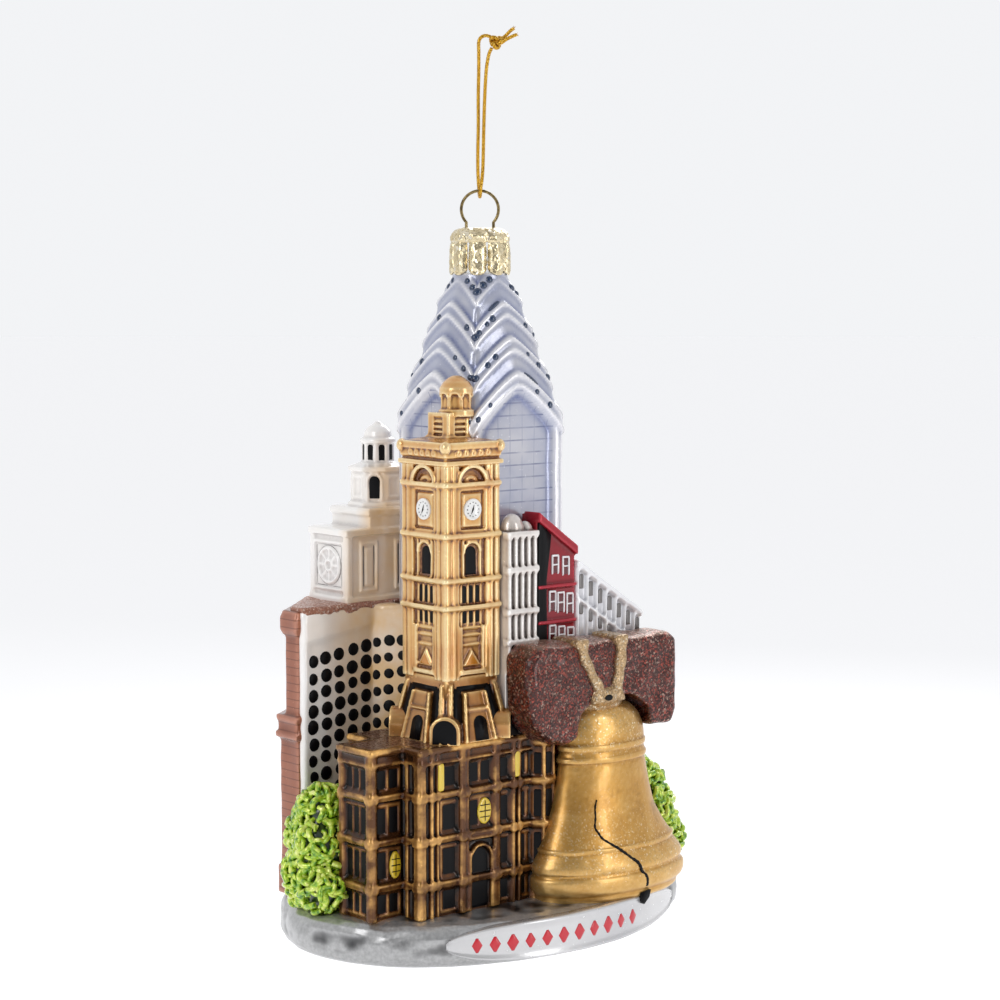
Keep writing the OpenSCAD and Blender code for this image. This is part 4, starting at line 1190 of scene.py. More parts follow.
# return of the pavilion, front and end of the wing, and the back and side walls
corner = Wall((hall_low.x, (hall_low.y + wing_low.y) / 2), (-1, 0))
facade(corner, (wing_low.y - hall_low.y) / 2, [(1.5, 1.4, 0.25), (-1.6, 0.9, 0.2)], [])
wing_front = Wall(((wing_low.x + wing_high.x) / 2, wing_low.y), (0, -1))
facade(wing_front, (wing_high.x - wing_low.x) / 2, [(-3.3, 1.3, 0.25)], [(-2.2, 3.2, 2)])
lit_oval(wing_front, 2.3, 18.9, 1.35, 2.7, -INSET + 0.1)
wing_end = Wall((wing_low.x, (wing_low.y + wing_high.y) / 2), (-1, 0))
facade(wing_end, (wing_high.y - wing_low.y) / 2, [(4.4, 1.2, 0.25), (-4.4, 1.0, 0.2)], [(-3.3, 3.1, 3)])
wing_back = Wall(((wing_low.x + wing_high.x) / 2, wing_high.y), (0, 1))
facade(wing_back, (wing_high.x - wing_low.x) / 2, [(3.4, 1.2, 0.2)], [(-2.2, 2.2, 2)])
side_wall = Wall((hall_low.x, (wing_high.y + HALL_BACK) / 2), (-1, 0))
side_half = (HALL_BACK - wing_high.y) / 2
facade(side_wall, side_half, [(side_half - 0.6, 1.0, 0.2), (0.6 - side_half, 1.0, 0.2)], [(-2.3, 2.3, 2)])
# round turret at the right end, half sunk in the wall, with three columns of windows
TURRET = (hall_high.x + 1.0, hall_low.y + 1.2)
TURRET_R = 3.5
turret_steps = [(TURRET_R - 0.4, hall_low.z - 0.4), (TURRET_R - 0.4, ROOF_Z - 1)]
hall.lathe(TURRET, turret_steps, 32)
for z in (*BELTS, ROOF_Z - 1.6):
    hall.lathe(TURRET, [(TURRET_R - 0.3, z - 0.9), (TURRET_R + 0.1, z - 0.6), (TURRET_R + 0.35, z + 0.2), (TURRET_R + 0.1, z + 0.6)], 32)
hall.lathe(TURRET, [(TURRET_R, ROOF_Z - 1), (TURRET_R - 0.6, ROOF_Z), (1.6, ROOF_Z + 0.8)], 32)
for degrees in (-135, -90, -45, 0):
    turn = math.radians(degrees)
    out = (math.cos(turn), math.sin(turn))
    bay = Wall((TURRET[0] + out[0] * (TURRET_R - 0.1), TURRET[1] + out[1] * (TURRET_R - 0.1)), out)
    for z0, z1 in STOREYS:
        bay.dab(panes, soft_box_outline(-0.75, 0.75, z0, z1), -0.32, 0.12)
    turn += math.radians(22.5)
    out = (math.cos(turn), math.sin(turn))
    rib = Wall((TURRET[0] + out[0] * TURRET_R, TURRET[1] + out[1] * TURRET_R), out)
    rib.bar(hall, -0.28, 0.28, hall_low.z, ROOF_Z - 1, -1.5, 0.1)
glass_piece("hall", ["hall_pavilion", "hall_wing"], [
    (hall.press("hall_walls", 0.31, 1), hall_gold), panes.paint("hall_windows", black_enamel),
    lamps.paint("lit_windows", yellow_enamel), muntins.paint("glazing_bars", black_enamel)])

# Flat roof: brown glitter strewn on glue inside the gold edge of the cornice.
roof = Mould()
roof.box((hall_low.x + 0.4, hall_low.y + 0.4, ROOF_Z - 0.9), (hall_high.x - 0.2, HALL_BACK - 0.1, ROOF_Z + 0.1))
roof.box((wing_low.x + 0.4, wing_low.y + 0.4, ROOF_Z - 0.9), (wing_high.x + 1, wing_high.y - 0.3, ROOF_Z + 0.1))


def glittered(name, metallic=0.6, roughness=0.32, coat=0.3, grain=0.00012, top_from=2.0, top_colour=(1, 1, 1), **look):
    """Glass strewn with glitter: tilted flakes over a dull glued ground, paler where it faces up."""
    material, tree, shader = new_material(name)
    flakes = place_group(tree, glitter, **look)
    lumps = object_noise(tree, 2600, 2.0)
    pile = add(tree, "ShaderNodeBump", {"Strength": 0.7, "Distance": grain})
    colour = flakes.outputs["Color"]
    if top_from < 1:
        skin = add(tree, "ShaderNodeNewGeometry")
        facing = add(tree, "ShaderNodeSeparateXYZ")
        join(tree, (skin.outputs["Normal"], facing.inputs[0]))
        up = maths(tree, "MULTIPLY", maths(tree, "SUBTRACT", facing.outputs["Z"], top_from), 3.0, True)
        up = maths(tree, "MULTIPLY", up, maths(tree, "ADD", lumps.outputs["Fac"], 0.25), True)
        colour = mix_colour(tree, up, colour, mix_colour(tree, 0.55, colour, top_colour, "ADD"))
    join(tree, (colour, shader.inputs["Base Color"]), (lumps.outputs["Fac"], pile.inputs["Height"]),
         (flakes.outputs["Normal"], pile.inputs["Normal"]), (pile.outputs["Normal"], shader.inputs["Normal"]))
    set_shader(shader, metallic=metallic, roughness=roughness, coat_weight=coat)
    return material


roof_glitter = glittered("roof_glitter", flakes_per_metre=3200.0, tilt=0.55, cover=0.75, ground=(0.10, 0.035, 0.02),
                         flake=(0.42, 0.19, 0.11), second_flake=(0.75, 0.52, 0.40))
glass_piece("hall_top", ["hall_roof"], [(roof.press("roof", 0.3, 2, 0.1), roof_glitter)])

# ---- Steeple ----------------------------------------------------------------------------------
# A white tower of four stages on the tall block: a square stage with a spoked clock in a frame, an
# octagonal drum with arched windows, a round lantern with dark lights, and a small dome.
stage_low, stage_high = grid_box("steeple_block")
drum_low, drum_high = grid_box("steeple_drum")
lantern_low, lantern_high = grid_box("steeple_lantern")
cupola_low, cupola_high = grid_box("steeple_dome")
DRUM = ((drum_low.x + drum_high.x) / 2, (drum_low.y + drum_high.y) / 2)
STAGE_FOOT = stage_low.z
STAGE_ROOF = STAGE_FOOT + 15
pearl_white, tree, shader, paint = lacquered(
    "pearl_white", 0.04, 0.8, colour=(0.95, 0.93, 0.91), hollow=(0.46, 0.42, 0.41), ridge=(0.99, 0.98, 0.97),
    hollow_amount=0.9, ridge_amount=0.6, wash=(0.93, 0.84, 0.74), wash_amount=0.5, wash_scale=45.0)
# Gold sprayed on the clock tower has drifted onto the white walls beside it; this gold tint, fading with distance from
# the tower's axis, is also a painted reflection of the gold tower.
tower_axis = GRID @ Vector((TOWER_X, TOWER_Y, 0))
where = add(tree, "ShaderNodeTexCoord")
axes = add(tree, "ShaderNodeSeparateXYZ")
level = add(tree, "ShaderNodeCombineXYZ", {"Z": tower_axis.z})
away = add(tree, "ShaderNodeVectorMath", {1: tower_axis}, operation="DISTANCE")
fade = add(tree, "ShaderNodeMapRange", {"From Min": 0.0185, "From Max": 0.0262, "To Min": 1.0, "To Max": 0.0})
mist = object_noise(tree, 130, 3.0)
join(tree, (where.outputs["Object"], axes.inputs[0]), (axes.outputs["X"], level.inputs["X"]), (axes.outputs["Y"], level.inputs["Y"]),
     (level.outputs[0], away.inputs[0]), (away.outputs["Value"], fade.inputs["Value"]))
# gold overspray and painted reflection of the gold tower, strongest near it
gold_spray_and_reflection = maths(tree, "MULTIPLY", fade.outputs["Result"], maths(tree, "MULTIPLY", mist.outputs["Fac"], 2.3), True)
join(tree, (mix_colour(tree, gold_spray_and_reflection, paint.outputs["Color"], (0.84, 0.55, 0.25)), shader.inputs["Base Color"]))
steeple = Mould()
lights = Mould()
lines = Mould()
steeple.box((stage_low.x + 0.5, stage_low.y + 0.5, STAGE_FOOT - 0.5), (stage_high.x - 0.3, stage_high.y - 0.3, STAGE_ROOF))
steeple.box((stage_low.x - 0.1, stage_low.y - 0.1, STAGE_FOOT - 0.3), (stage_high.x, stage_high.y, STAGE_FOOT + 1.3))
steeple.box((stage_low.x - 0.2, stage_low.y - 0.2, STAGE_ROOF - 1.4), (stage_high.x, stage_high.y, STAGE_ROOF - 0.1))
steeple.box((DRUM[0] - 7, stage_low.y + 0.2, STAGE_ROOF - 1), (DRUM[0] + 7, stage_high.y, drum_low.z - 0.1))
steeple.box((DRUM[0] - 7.5, stage_low.y - 0.1, drum_low.z - 1.5), (DRUM[0] + 7.5, stage_high.y + 0.3, drum_low.z - 0.4))
drum_r = (drum_high.x - drum_low.x) / 2
octagon = [(drum_r + 0.3, drum_low.z - 0.6), (drum_r + 0.3, drum_low.z + 0.7), (drum_r - 0.5, drum_low.z + 0.9),
           (drum_r - 0.6, drum_high.z - 1.1), (drum_r + 0.2, drum_high.z - 0.9), (drum_r + 0.2, drum_high.z - 0.1),
           (4.2, drum_high.z + 0.5)]
steeple.lathe(DRUM, octagon, 8, math.pi / 8)
lantern_r = (lantern_high.x - lantern_low.x) / 2
steeple.lathe(DRUM, [(4.0, drum_high.z - 0.3), (4.0, drum_high.z + 0.6), (lantern_r - 0.1, drum_high.z + 0.8),
                     (lantern_r - 0.2, lantern_high.z - 1.0), (lantern_r + 0.5, lantern_high.z - 0.8),
                     (lantern_r + 0.5, lantern_high.z), (2.9, lantern_high.z + 0.2), (2.75, lantern_high.z + 1.4),
                     (1.9, lantern_high.z + 2.4), (0.9, cupola_high.z - 0.1), (0.5, cupola_high.z + 0.5)], 32)
for k in range(8):
    turn = math.pi * k / 4
    out = (math.cos(turn), math.sin(turn))
    face = Wall((DRUM[0] + out[0] * (drum_r - 0.55) * math.cos(math.pi / 8), DRUM[1] + out[1] * (drum_r - 0.55) * math.cos(math.pi / 8)), out)
    if k % 2:
        face.arc(steeple, 0, drum_low.z + 5.2, 1.45, 0.5, -1, 0.35)
        for side in (-1, 1):
            face.bar(steeple, side * 1.45 - 0.25, side * 1.45 + 0.25, drum_low.z + 1.1, drum_low.z + 5.2, -1, 0.35)
        face.dab(lights, arch_outline(0, 1.1, drum_low.z + 1.6, drum_low.z + 6.1), 0.02)
    else:
        face.frame(steeple, -1.2, 1.2, drum_low.z + 2, drum_low.z + 5.8, 0.35, -1, 0.25)
    pillar = Wall((DRUM[0] + (lantern_r - 0.15) * math.cos(turn), DRUM[1] + (lantern_r - 0.15) * math.sin(turn)), out)
    pillar.bar(steeple, -0.38, 0.38, drum_high.z + 0.5, lantern_high.z, -1, 0.3)
    between = turn + math.pi / 8
    out = (math.cos(between), math.sin(between))
    gap = Wall((DRUM[0] + (lantern_r - 0.2) * math.cos(between), DRUM[1] + (lantern_r - 0.2) * math.sin(between)), out)
    gap.dab(lights, arch_outline(0, 0.62, drum_high.z + 1.1, lantern_high.z - 1.1), -0.02)
clock_z = STAGE_FOOT + 7.4
stage_mid = ((stage_low.x + stage_high.x) / 2, (stage_low.y + stage_high.y) / 2)
for out in ((0, -1), (-1, 0), (0, 1)):
    reach = (stage_high.x - stage_low.x) / 2 if out[0] else (stage_high.y - stage_low.y) / 2
    half = (stage_high.y - stage_low.y) / 2 if out[0] else (stage_high.x - stage_low.x) / 2
    face = Wall((stage_mid[0] + out[0] * (reach - 0.5), stage_mid[1] + out[1] * (reach - 0.5)), out)
    for side in (-1, 1):
        face.bar(steeple, side * (half - 1.0) - 0.6, side * (half - 1.0) + 0.6, STAGE_FOOT, STAGE_ROOF - 0.5, -1, 0.4)
    if out == (0, -1):
        for u in (-4.4, 4.4):
            face.frame(steeple, u - 1.7, u + 1.7, clock_z - 4.6, clock_z + 4.4, 0.5, -1, 0.45)
            face.bar(steeple, u - 0.8, u + 0.8, clock_z - 3.8, clock_z + 3.6, -1, 0.3)
            for side in (-1, 1):
                face.dab(lines, soft_box_outline(u + side * 1.3 - 0.13, u + side * 1.3 + 0.13, clock_z - 4.3, clock_z + 4.1, 0.1), 0.0, 0.06)
        continue
    face.frame(steeple, -4.6, 4.6, clock_z - 4.5, clock_z + 4.5, 0.5, -1, 0.45)
    face.arc(lines, 0, clock_z, 3.95, 0.24, -0.3, 0.1, 0, 360, 32)
    face.arc(steeple, 0, clock_z, 3.5, 0.55, -1, 0.5, 0, 360, 28)
    face.arc(steeple, 0, clock_z, 1.1, 0.6, -1, 0.45, 0, 360, 14)
    for k in range(8):
        a = math.pi * k / 4
        dx, dz = math.cos(a), math.sin(a)
        face.plate(steeple, [(dx * 1.2 - dz * 0.16, clock_z + dz * 1.2 + dx * 0.16), (dx * 1.2 + dz * 0.16, clock_z + dz * 1.2 - dx * 0.16),
                             (dx * 3.4 + dz * 0.16, clock_z + dz * 3.4 - dx * 0.16), (dx * 3.4 - dz * 0.16, clock_z + dz * 3.4 + dx * 0.16)],
                   -1, 0.3)
    for z in (clock_z - 4.25, clock_z + 4.25):
        face.dab(lines, soft_box_outline(-4.3, 4.3, z - 0.15, z + 0.15, 0.1), 0.0, 0.06)
    for u in (-4.25, 4.25):
        face.dab(lines, soft_box_outline(u - 0.15, u + 0.15, clock_z - 4.2, clock_z + 4.2, 0.1), 0.0, 0.06)
grey_enamel = enamel("grey_enamel", (0.17, 0.155, 0.15), 0.25, 0.2)
glass_piece("steeple", ["steeple_block", "steeple_drum", "steeple_lantern", "steeple_dome"], [
    (steeple.press("steeple_glass", 0.22), pearl_white), lights.paint("steeple_lights", black_enamel),
    lines.paint("steeple_lines", grey_enamel)])

# ---- Tall block -------------------------------------------------------------------------------
# A plain pearl-white slab. Its street side carries rows of round black dots for windows, dabbed on
# by brush along a sloping seam; glitter runs over its roof edge in an uneven drip.
block_low, block_high = grid_box("window_block")
panel_low, panel_high = grid_box("window_panel")
brick_low, brick_high = grid_box("brick_wall")
block = Mould()
CHAMFER = (11.4, 10.6)
plan = [(block_low.x, block_low.y), (block_high.x, block_low.y), (block_high.x, block_high.y),
        (block_low.x + CHAMFER[0], block_high.y), (block_low.x, block_high.y - CHAMFER[1])]
block.prism([[(x, y, z) for x, y in plan] for z in (block_low.z - 0.5, block_high.z)])
SEAM_Z = 59.4
SEAM_SLOPE = 0.14
BEND = (-18.0, -12.2)
BEND_REACH = 6.6
block.prism([[(BEND[0], block_low.y - 0.2, z), (BEND[1], block_low.y - BEND_REACH, z), (BEND[1], block_low.y + 0.5, z)]
             for z in (block_low.z - 0.5, block_high.z - 0.2)])
street = Wall((0, panel_low.y), (0, -1))
frieze = [(panel_low.x, SEAM_Z), (panel_high.x, SEAM_Z + SEAM_SLOPE * (panel_high.x - panel_low.x)),
          (panel_high.x, block_high.z - 0.4), (panel_low.x, block_high.z - 0.4)]
street.plate(block, frieze, -2, 0.35)
street.plate(block, box_outline(panel_low.x, panel_high.x, panel_low.z, block_high.z - 2), -2, -0.05)
street.bar(block, block_low.x - 0.3, panel_low.x + 0.5, panel_low.z, block_high.z - 0.6, -2, 0.3)
drip = Mould()
dice = random.Random(11)
drip.prism([[(x + dx, y + dy, z) for x, y, dx, dy in
             [(*p, 0.25 if p[0] > -30 else -0.35, -0.55 if p[1] < 20 else 0.3) for p in plan]] for z in (block_high.z - 0.7, block_high.z + 0.35)])
u = panel_low.x
while u < panel_high.x - 1:
    wide = dice.uniform(0.9, 2.2)
    fall = dice.uniform(0.0, 1.0)
    street.plate(drip, soft_box_outline(u, u + wide, block_high.z - 0.8 - fall, block_high.z - 0.3, 0.4), -1.5, 0.45)
    u += wide * 0.8
sand_glitter = glittered("sand_glitter", 0.4, 0.4, 0.2, flakes_per_metre=3000.0, tilt=0.5, cover=0.8, ground=(0.34, 0.15, 0.10),
                         flake=(0.62, 0.34, 0.25), second_flake=(0.92, 0.76, 0.66))


def geometry_tree(name, inputs):
    """A Geometry Nodes tree with named inputs; gives the tree, its input node and its output node."""
    tree = bpy.data.node_groups.new(name, "GeometryNodeTree")
    tree.interface.new_socket("Geometry", in_out="INPUT", socket_type="NodeSocketGeometry")
    for label, (kind, value) in inputs.items():
        socket = tree.interface.new_socket(label, in_out="INPUT", socket_type="NodeSocket" + kind)
        if value is not None:
            socket.default_value = value
    tree.interface.new_socket("Geometry", in_out="OUTPUT", socket_type="NodeSocketGeometry")
    return tree, add(tree, "NodeGroupInput"), add(tree, "NodeGroupOutput")


def grow(name, tree, base=None, **values):
    """Runs a tree on a mesh, or on nothing, with its inputs set, and returns a plain mesh."""
    holder = link(name + "_seed", base or bpy.data.meshes.new(name + "_base"))
    nodes = holder.modifiers.new("nodes", "NODES")
    nodes.node_group = tree
    sockets = {item.name: item.identifier for item in tree.interface.items_tree if item.in_out == "INPUT"}
    for label, value in values.items():
        nodes[sockets[label.replace("_", " ").capitalize()]] = value
    mesh = bpy.data.meshes.new_from_object(holder.evaluated_get(bpy.context.evaluated_depsgraph_get()))
    holder.modifiers.remove(nodes)
    bpy.data.objects.remove(holder)
    mesh.name = name
    if "relief" not in mesh.attributes:
        mesh.attributes.new("relief", "FLOAT", "POINT")
    return mesh


# A dot is a squashed ball, placed on a sheared grid and pushed a little off its place.
dot_tree, dot_in, dot_out = geometry_tree("dabbed_dots", {
    "Columns": ("Int", 8), "Rows": ("Int", 10), "Width": ("Float", 10.0), "Height": ("Float", 10.0), "Slope": ("Float", 0.0),
    "Dot radius": ("Float", 1.0), "Dot lift": ("Float", 0.3), "Stray": ("Float", 0.1), "Seed": ("Int", 1), "Paint": ("Material", None)})
sheet = add(dot_tree, "GeometryNodeMeshGrid")
spot = add(dot_tree, "GeometryNodeInputPosition")
spot_axes = add(dot_tree, "ShaderNodeSeparateXYZ")
shear = maths(dot_tree, "MULTIPLY", spot_axes.outputs["X"], dot_in.outputs["Slope"])
shift = add(dot_tree, "ShaderNodeCombineXYZ")
stray = add(dot_tree, "FunctionNodeRandomValue", data_type="FLOAT_VECTOR")
stray.inputs["Min"].default_value = (-1, -1, 0)
stray.inputs["Max"].default_value = (1, 1, 0)
stray_scaled = add(dot_tree, "ShaderNodeVectorMath", operation="SCALE")
total = add(dot_tree, "ShaderNodeVectorMath", operation="ADD")
place = add(dot_tree, "GeometryNodeSetPosition")
ball = add(dot_tree, "GeometryNodeMeshUVSphere", {"Segments": 14, "Rings": 6})
flat = add(dot_tree, "ShaderNodeCombineXYZ", {0: 1.0, 1: 1.0})
squash = add(dot_tree, "GeometryNodeTransform")
sizes = add(dot_tree, "FunctionNodeRandomValue", data_type="FLOAT")
spread = add(dot_tree, "GeometryNodeInstanceOnPoints")
real = add(dot_tree, "GeometryNodeRealizeInstances")
painted = add(dot_tree, "GeometryNodeSetMaterial")
sizes.inputs[2].default_value = 0.86
sizes.inputs[3].default_value = 1.12
join(dot_tree, (dot_in.outputs["Columns"], sheet.inputs["Vertices X"]), (dot_in.outputs["Rows"], sheet.inputs["Vertices Y"]),
     (dot_in.outputs["Width"], sheet.inputs["Size X"]), (dot_in.outputs["Height"], sheet.inputs["Size Y"]),
     (spot.outputs[0], spot_axes.inputs[0]), (shear, shift.inputs["Y"]), (dot_in.outputs["Seed"], stray.inputs["Seed"]),
     (stray.outputs["Value"], stray_scaled.inputs[0]), (dot_in.outputs["Stray"], stray_scaled.inputs["Scale"]),
     (stray_scaled.outputs[0], total.inputs[0]), (shift.outputs[0], total.inputs[1]), (sheet.outputs["Mesh"], place.inputs["Geometry"]),
     (total.outputs[0], place.inputs["Offset"]), (dot_in.outputs["Dot radius"], ball.inputs["Radius"]),
     (dot_in.outputs["Dot lift"], flat.inputs["Z"]), (ball.outputs["Mesh"], squash.inputs["Geometry"]),
     (flat.outputs[0], squash.inputs["Scale"]), (place.outputs[0], spread.inputs["Points"]), (squash.outputs[0], spread.inputs["Instance"]),
     (sizes.outputs[1], spread.inputs["Scale"]), (dot_in.outputs["Seed"], sizes.inputs["Seed"]), (spread.outputs[0], real.inputs[0]),
     (real.outputs[0], painted.inputs["Geometry"]), (dot_in.outputs["Paint"], painted.inputs["Material"]),
     (painted.outputs[0], dot_out.inputs[0]))


def on_wall(mesh, wall, u, z, d):
    """Turns a flat sheet in X and Y onto a wall, with its middle at (u, z)."""
    at = wall.at(u, z, d)
    mesh.transform(Matrix((
        (wall.along.x, 0, wall.out.x, at.x), (wall.along.y, 0, wall.out.y, at.y), (0, 1, 0, at.z), (0, 0, 0, 1))))
    return mesh


DOT_PITCH = 3.3
DOT_ROWS = 13
dot_wide = 13.1
dots = grow("dots", dot_tree, columns=5, rows=DOT_ROWS, width=dot_wide, height=DOT_PITCH * (DOT_ROWS - 1), slope=SEAM_SLOPE + 0.02,
            dot_radius=1.4, dot_lift=0.26, stray=0.2, seed=4, paint=black_enamel)
dots_z = SEAM_Z - 3.0 - DOT_PITCH * (DOT_ROWS - 1) / 2
on_wall(dots, street, panel_low.x + 1.9 + dot_wide / 2, dots_z, -0.1)
bend_run = (BEND[1] - BEND[0], -BEND_REACH + 0.2)
bend_long = math.hypot(*bend_run)
bend = Wall(((BEND[0] + BEND[1]) / 2, block_low.y - BEND_REACH / 2 - 0.1), (bend_run[1] / bend_long, -bend_run[0] / bend_long))
bend_dots = grow("bend_dots", dot_tree, columns=3, rows=DOT_ROWS, width=5.4, height=DOT_PITCH * (DOT_ROWS - 1), slope=SEAM_SLOPE,
                 dot_radius=1.2, dot_lift=0.26, stray=0.2, seed=9, paint=black_enamel)
on_wall(bend_dots, bend, -0.3, dots_z + 1.9, -0.1)
behind = Wall(((block_low.x + CHAMFER[0] + block_high.x) / 2, block_high.y), (0, 1))
back_dots = grow("back_dots", dot_tree, columns=9, rows=DOT_ROWS, width=27.5, height=DOT_PITCH * (DOT_ROWS - 1), slope=0.0,
                 dot_radius=1.3, dot_lift=0.26, stray=0.2, seed=13, paint=black_enamel)
on_wall(back_dots, behind, 0, dots_z, -0.1)
glass_piece("tall_block", ["window_block", "window_panel"], [
    (block.press("block_glass", 0.5, 3, 0.12), pearl_white), (dots, black_enamel), (bend_dots, black_enamel), (back_dots, black_enamel),
    (drip.press("drip", 0.32, 3, 0.15), sand_glitter)])

# End wall of the tall block: brick-red lacquer with courses scratched in, a string course at
# two thirds of its height and a rounded cap.
brick = Mould()
BRICK_TOP = brick_high.z


def end_plan(depth, by):
    """The brick end from above: its depth along the street's side, and how far it swells."""
    x0, y0 = brick_low.x - by, block_low.y + 0.3 - by * 0.6
    return [(x0, y0), (x0, block_low.y + depth + by), (block_low.x + CHAMFER[0] - 0.6 - by, block_high.y + 0.6),
            (block_low.x + CHAMFER[0] + 1, block_high.y - 0.8), (block_low.x + 1, block_low.y + 3.5), (block_low.x + 0.6, y0)]


for z0, z1, by, depth in ((block_low.z - 0.3, 42, 0, 6.4), (40, BRICK_TOP, 0, 4.4), (block_low.z - 0.3, 14, 0.5, 6.4), (40, 41.2, 0.8, 6.2),
                          (41.2, 43.6, 0.4, 6.0), (43.6, 44.6, 0.9, 5.6), (BRICK_TOP - 4.2, BRICK_TOP + 0.6, 0.5, 4.4),
                          (BRICK_TOP - 3.4, BRICK_TOP - 0.6, 0.8, 4.4)):
    brick.prism([[(x, y, z) for x, y in end_plan(depth, by)] for z in (z0, z1)])
brick_red, tree, shader, paint = lacquered(
    "brick_red", 0.3, 0.3, colour=(0.34, 0.115, 0.062), hollow=(0.09, 0.025, 0.014), ridge=(0.60, 0.28, 0.19),
    hollow_amount=1.2, ridge_amount=0.9, wash=(0.22, 0.075, 0.05), wash_amount=0.5, wash_scale=120.0)
where = add(tree, "ShaderNodeTexCoord")
axes = add(tree, "ShaderNodeSeparateXYZ")
join(tree, (where.outputs["Object"], axes.inputs[0]))
course = line_mask(tree, axes.outputs["Z"], 0.0016, 0.00024)
joint_paint = maths(tree, "MULTIPLY", course, 0.55)
join(tree, (mix_colour(tree, joint_paint, paint.outputs["Color"], (0.12, 0.035, 0.02)), shader.inputs["Base Color"]))
glass_piece("brick_end", ["brick_wall"], [(brick.press("brick", 0.34, 3, 0.15), brick_red)])

# ---- Houses behind the bell -------------------------------------------------------------------
# A columned house in pearl white with a little dome, a deep red house with white-lined windows
# beside a black strip, and a silvery terrace whose roof line falls to the right.
column_low, column_high = grid_box("column_house")
red_low, red_high = grid_box("red_house")
terrace_low, terrace_high = grid_box("white_terrace")
FRONT_Y = red_low.y
HOUSE_BACK = red_high.y
columns = Mould()
shade = Mould()
columns.box((column_low.x + 0.3, FRONT_Y + 0.9, column_low.z - 0.5), (column_high.x, HOUSE_BACK + 0.4, column_high.z - 1.2))
house_front = Wall((0, FRONT_Y), (0, -1))
span = column_high.x - column_low.x
for z, proud, tall in ((column_high.z - 1.6, 0.35, 1.0), (74.4, 0.35, 1.0), (66.2, 0.35, 1.0), (60.2, 0.3, 0.9)):
    house_front.bar(columns, column_low.x, column_high.x, z - tall / 2, z + tall / 2, -1.5, proud)
for z0, z1 in ((75, column_high.z - 2), (67, 74), (54, 66)):
    for k in range(5):
        u = column_low.x + 0.8 + k * (span - 1.6) / 4
        house_front.bar(columns, u - 0.38, u + 0.38, z0, z1, -1.5, 0.05)
        house_front.bar(columns, u - 0.55, u + 0.55, z1 - 0.5, z1 + 0.3, -1.5, 0.2)
columns.ball((column_low.x + 3.4, FRONT_Y + 2.6, column_high.z - 1.2), (2.5, 2.2, 3.4))
columns.ball((column_low.x + 6.6, FRONT_Y + 2.4, column_high.z - 1.6), (1.5, 1.6, 2.2))
for u, z in ((column_low.x + 2.6, 78.2), (column_low.x + 5.2, 78.6), (column_low.x + 3.4, 70.2), (column_low.x + 6, 70.6)):
    house_front.dab(shade, soft_box_outline(u - 0.45, u + 0.45, z - 1.7, z + 1.7), -0.92, 0.1)
# Its hollows go near black: partly antique wash, mostly painted shade between the columns and under the cornices.
house_white, tree, shader, paint = lacquered(
    "house_white", 0.35, 0.7, colour=(0.66, 0.60, 0.56), hollow=(0.10, 0.08, 0.075), ridge=(0.96, 0.93, 0.90),
    hollow_amount=2.0, ridge_amount=1.1, wash=(0.42, 0.33, 0.27), wash_amount=0.7, wash_scale=110.0)
glass_piece("columned_house", ["column_house"], [
    (columns.press("columns", 0.22), house_white), shade.paint("column_shade", black_enamel)])

white_enamel = enamel("white_enamel", (0.88, 0.86, 0.88), 0.2)
red = Mould()
strip = Mould()
trim = Mould()
gaps = Mould()
red.prism([[(x, y, z) for x, z in ((red_low.x, red_low.z - 0.5), (red_high.x, red_low.z - 0.5), (red_high.x, red_high.z - 7.6),
                                    (red_low.x, red_high.z - 0.4))] for y in (HOUSE_BACK + 0.3, FRONT_Y + 0.6)])
house_front.plate(red, [(red_low.x - 0.1, red_high.z - 1.8), (red_high.x + 0.1, red_high.z - 9.1), (red_high.x + 0.1, red_high.z - 7.2),
                        (red_low.x - 0.1, red_high.z + 0.1)], -4.5, 0.3)
for z in (70.4, 63.3):
    house_front.bar(red, red_low.x, red_high.x, z - 0.35, z + 0.35, -1.5, 0.1)
house_front.dab(strip, [(red_low.x - 0.1, 55), (red_low.x + 2.4, 55), (red_low.x + 2.2, 72), (red_low.x + 3.4, 80.6), (red_low.x + 0.1, 83.8)],
                -0.42, 0.25)
for row_z, tall, spots in ((74.4, 3.8, (4.6, 7.4)), (67.0, 4.2, (3.9, 6.1, 8.5)), (60.6, 3.4, (3.9, 6.3, 8.7))):
    for u in spots:
        z = row_z - 0.16 * (u - 6)
        for r, wide in ((1.0, 0.28),):
            for side in (-1, 1):
                house_front.dab(trim, soft_box_outline(red_low.x + u + side * 0.8 - wide / 2, red_low.x + u + side * 0.8 + wide / 2,
                                                       z - tall / 2, z + tall / 2, 0.12), -0.5, 0.22)
            house_front.dab(trim, soft_box_outline(red_low.x + u - 0.9, red_low.x + u + 0.9, z + tall / 2 - 0.3, z + tall / 2 + 0.1, 0.12), -0.5, 0.22)
            house_front.dab(trim, soft_box_outline(red_low.x + u - 0.9, red_low.x + u + 0.9, z - 0.15, z + 0.15, 0.12), -0.5, 0.2)
        house_front.dab(gaps, soft_box_outline(red_low.x + u - 0.55, red_low.x + u + 0.55, z - tall / 2 + 0.2, z + tall / 2 - 0.4), -0.58, 0.1)
house_red, tree, shader, paint = lacquered(
    "house_red", 0.35, 0.35, colour=(0.30, 0.006, 0.016), hollow=(0.06, 0.003, 0.006), ridge=(0.62, 0.03, 0.06),
    hollow_amount=1.0, ridge_amount=0.7, wash=(0.17, 0.006, 0.012), wash_amount=0.5, wash_scale=120.0)
dark_red_enamel = enamel("dark_red_enamel", (0.12, 0.006, 0.012), 0.2, 0.2)
glass_piece("red_house_front", ["red_house"], [
    (red.press("red", 0.25), house_red), strip.paint("black_strip", black_enamel), trim.paint("trim", white_enamel),
    gaps.paint("panes", dark_red_enamel)])

terrace = Mould()
marks = Mould()
TERRACE_FALL = 11.9
TERRACE_LONG = terrace_high.x - terrace_low.x


def terrace_roof(x):
    return terrace_high.z - TERRACE_FALL * (x - terrace_low.x) / TERRACE_LONG


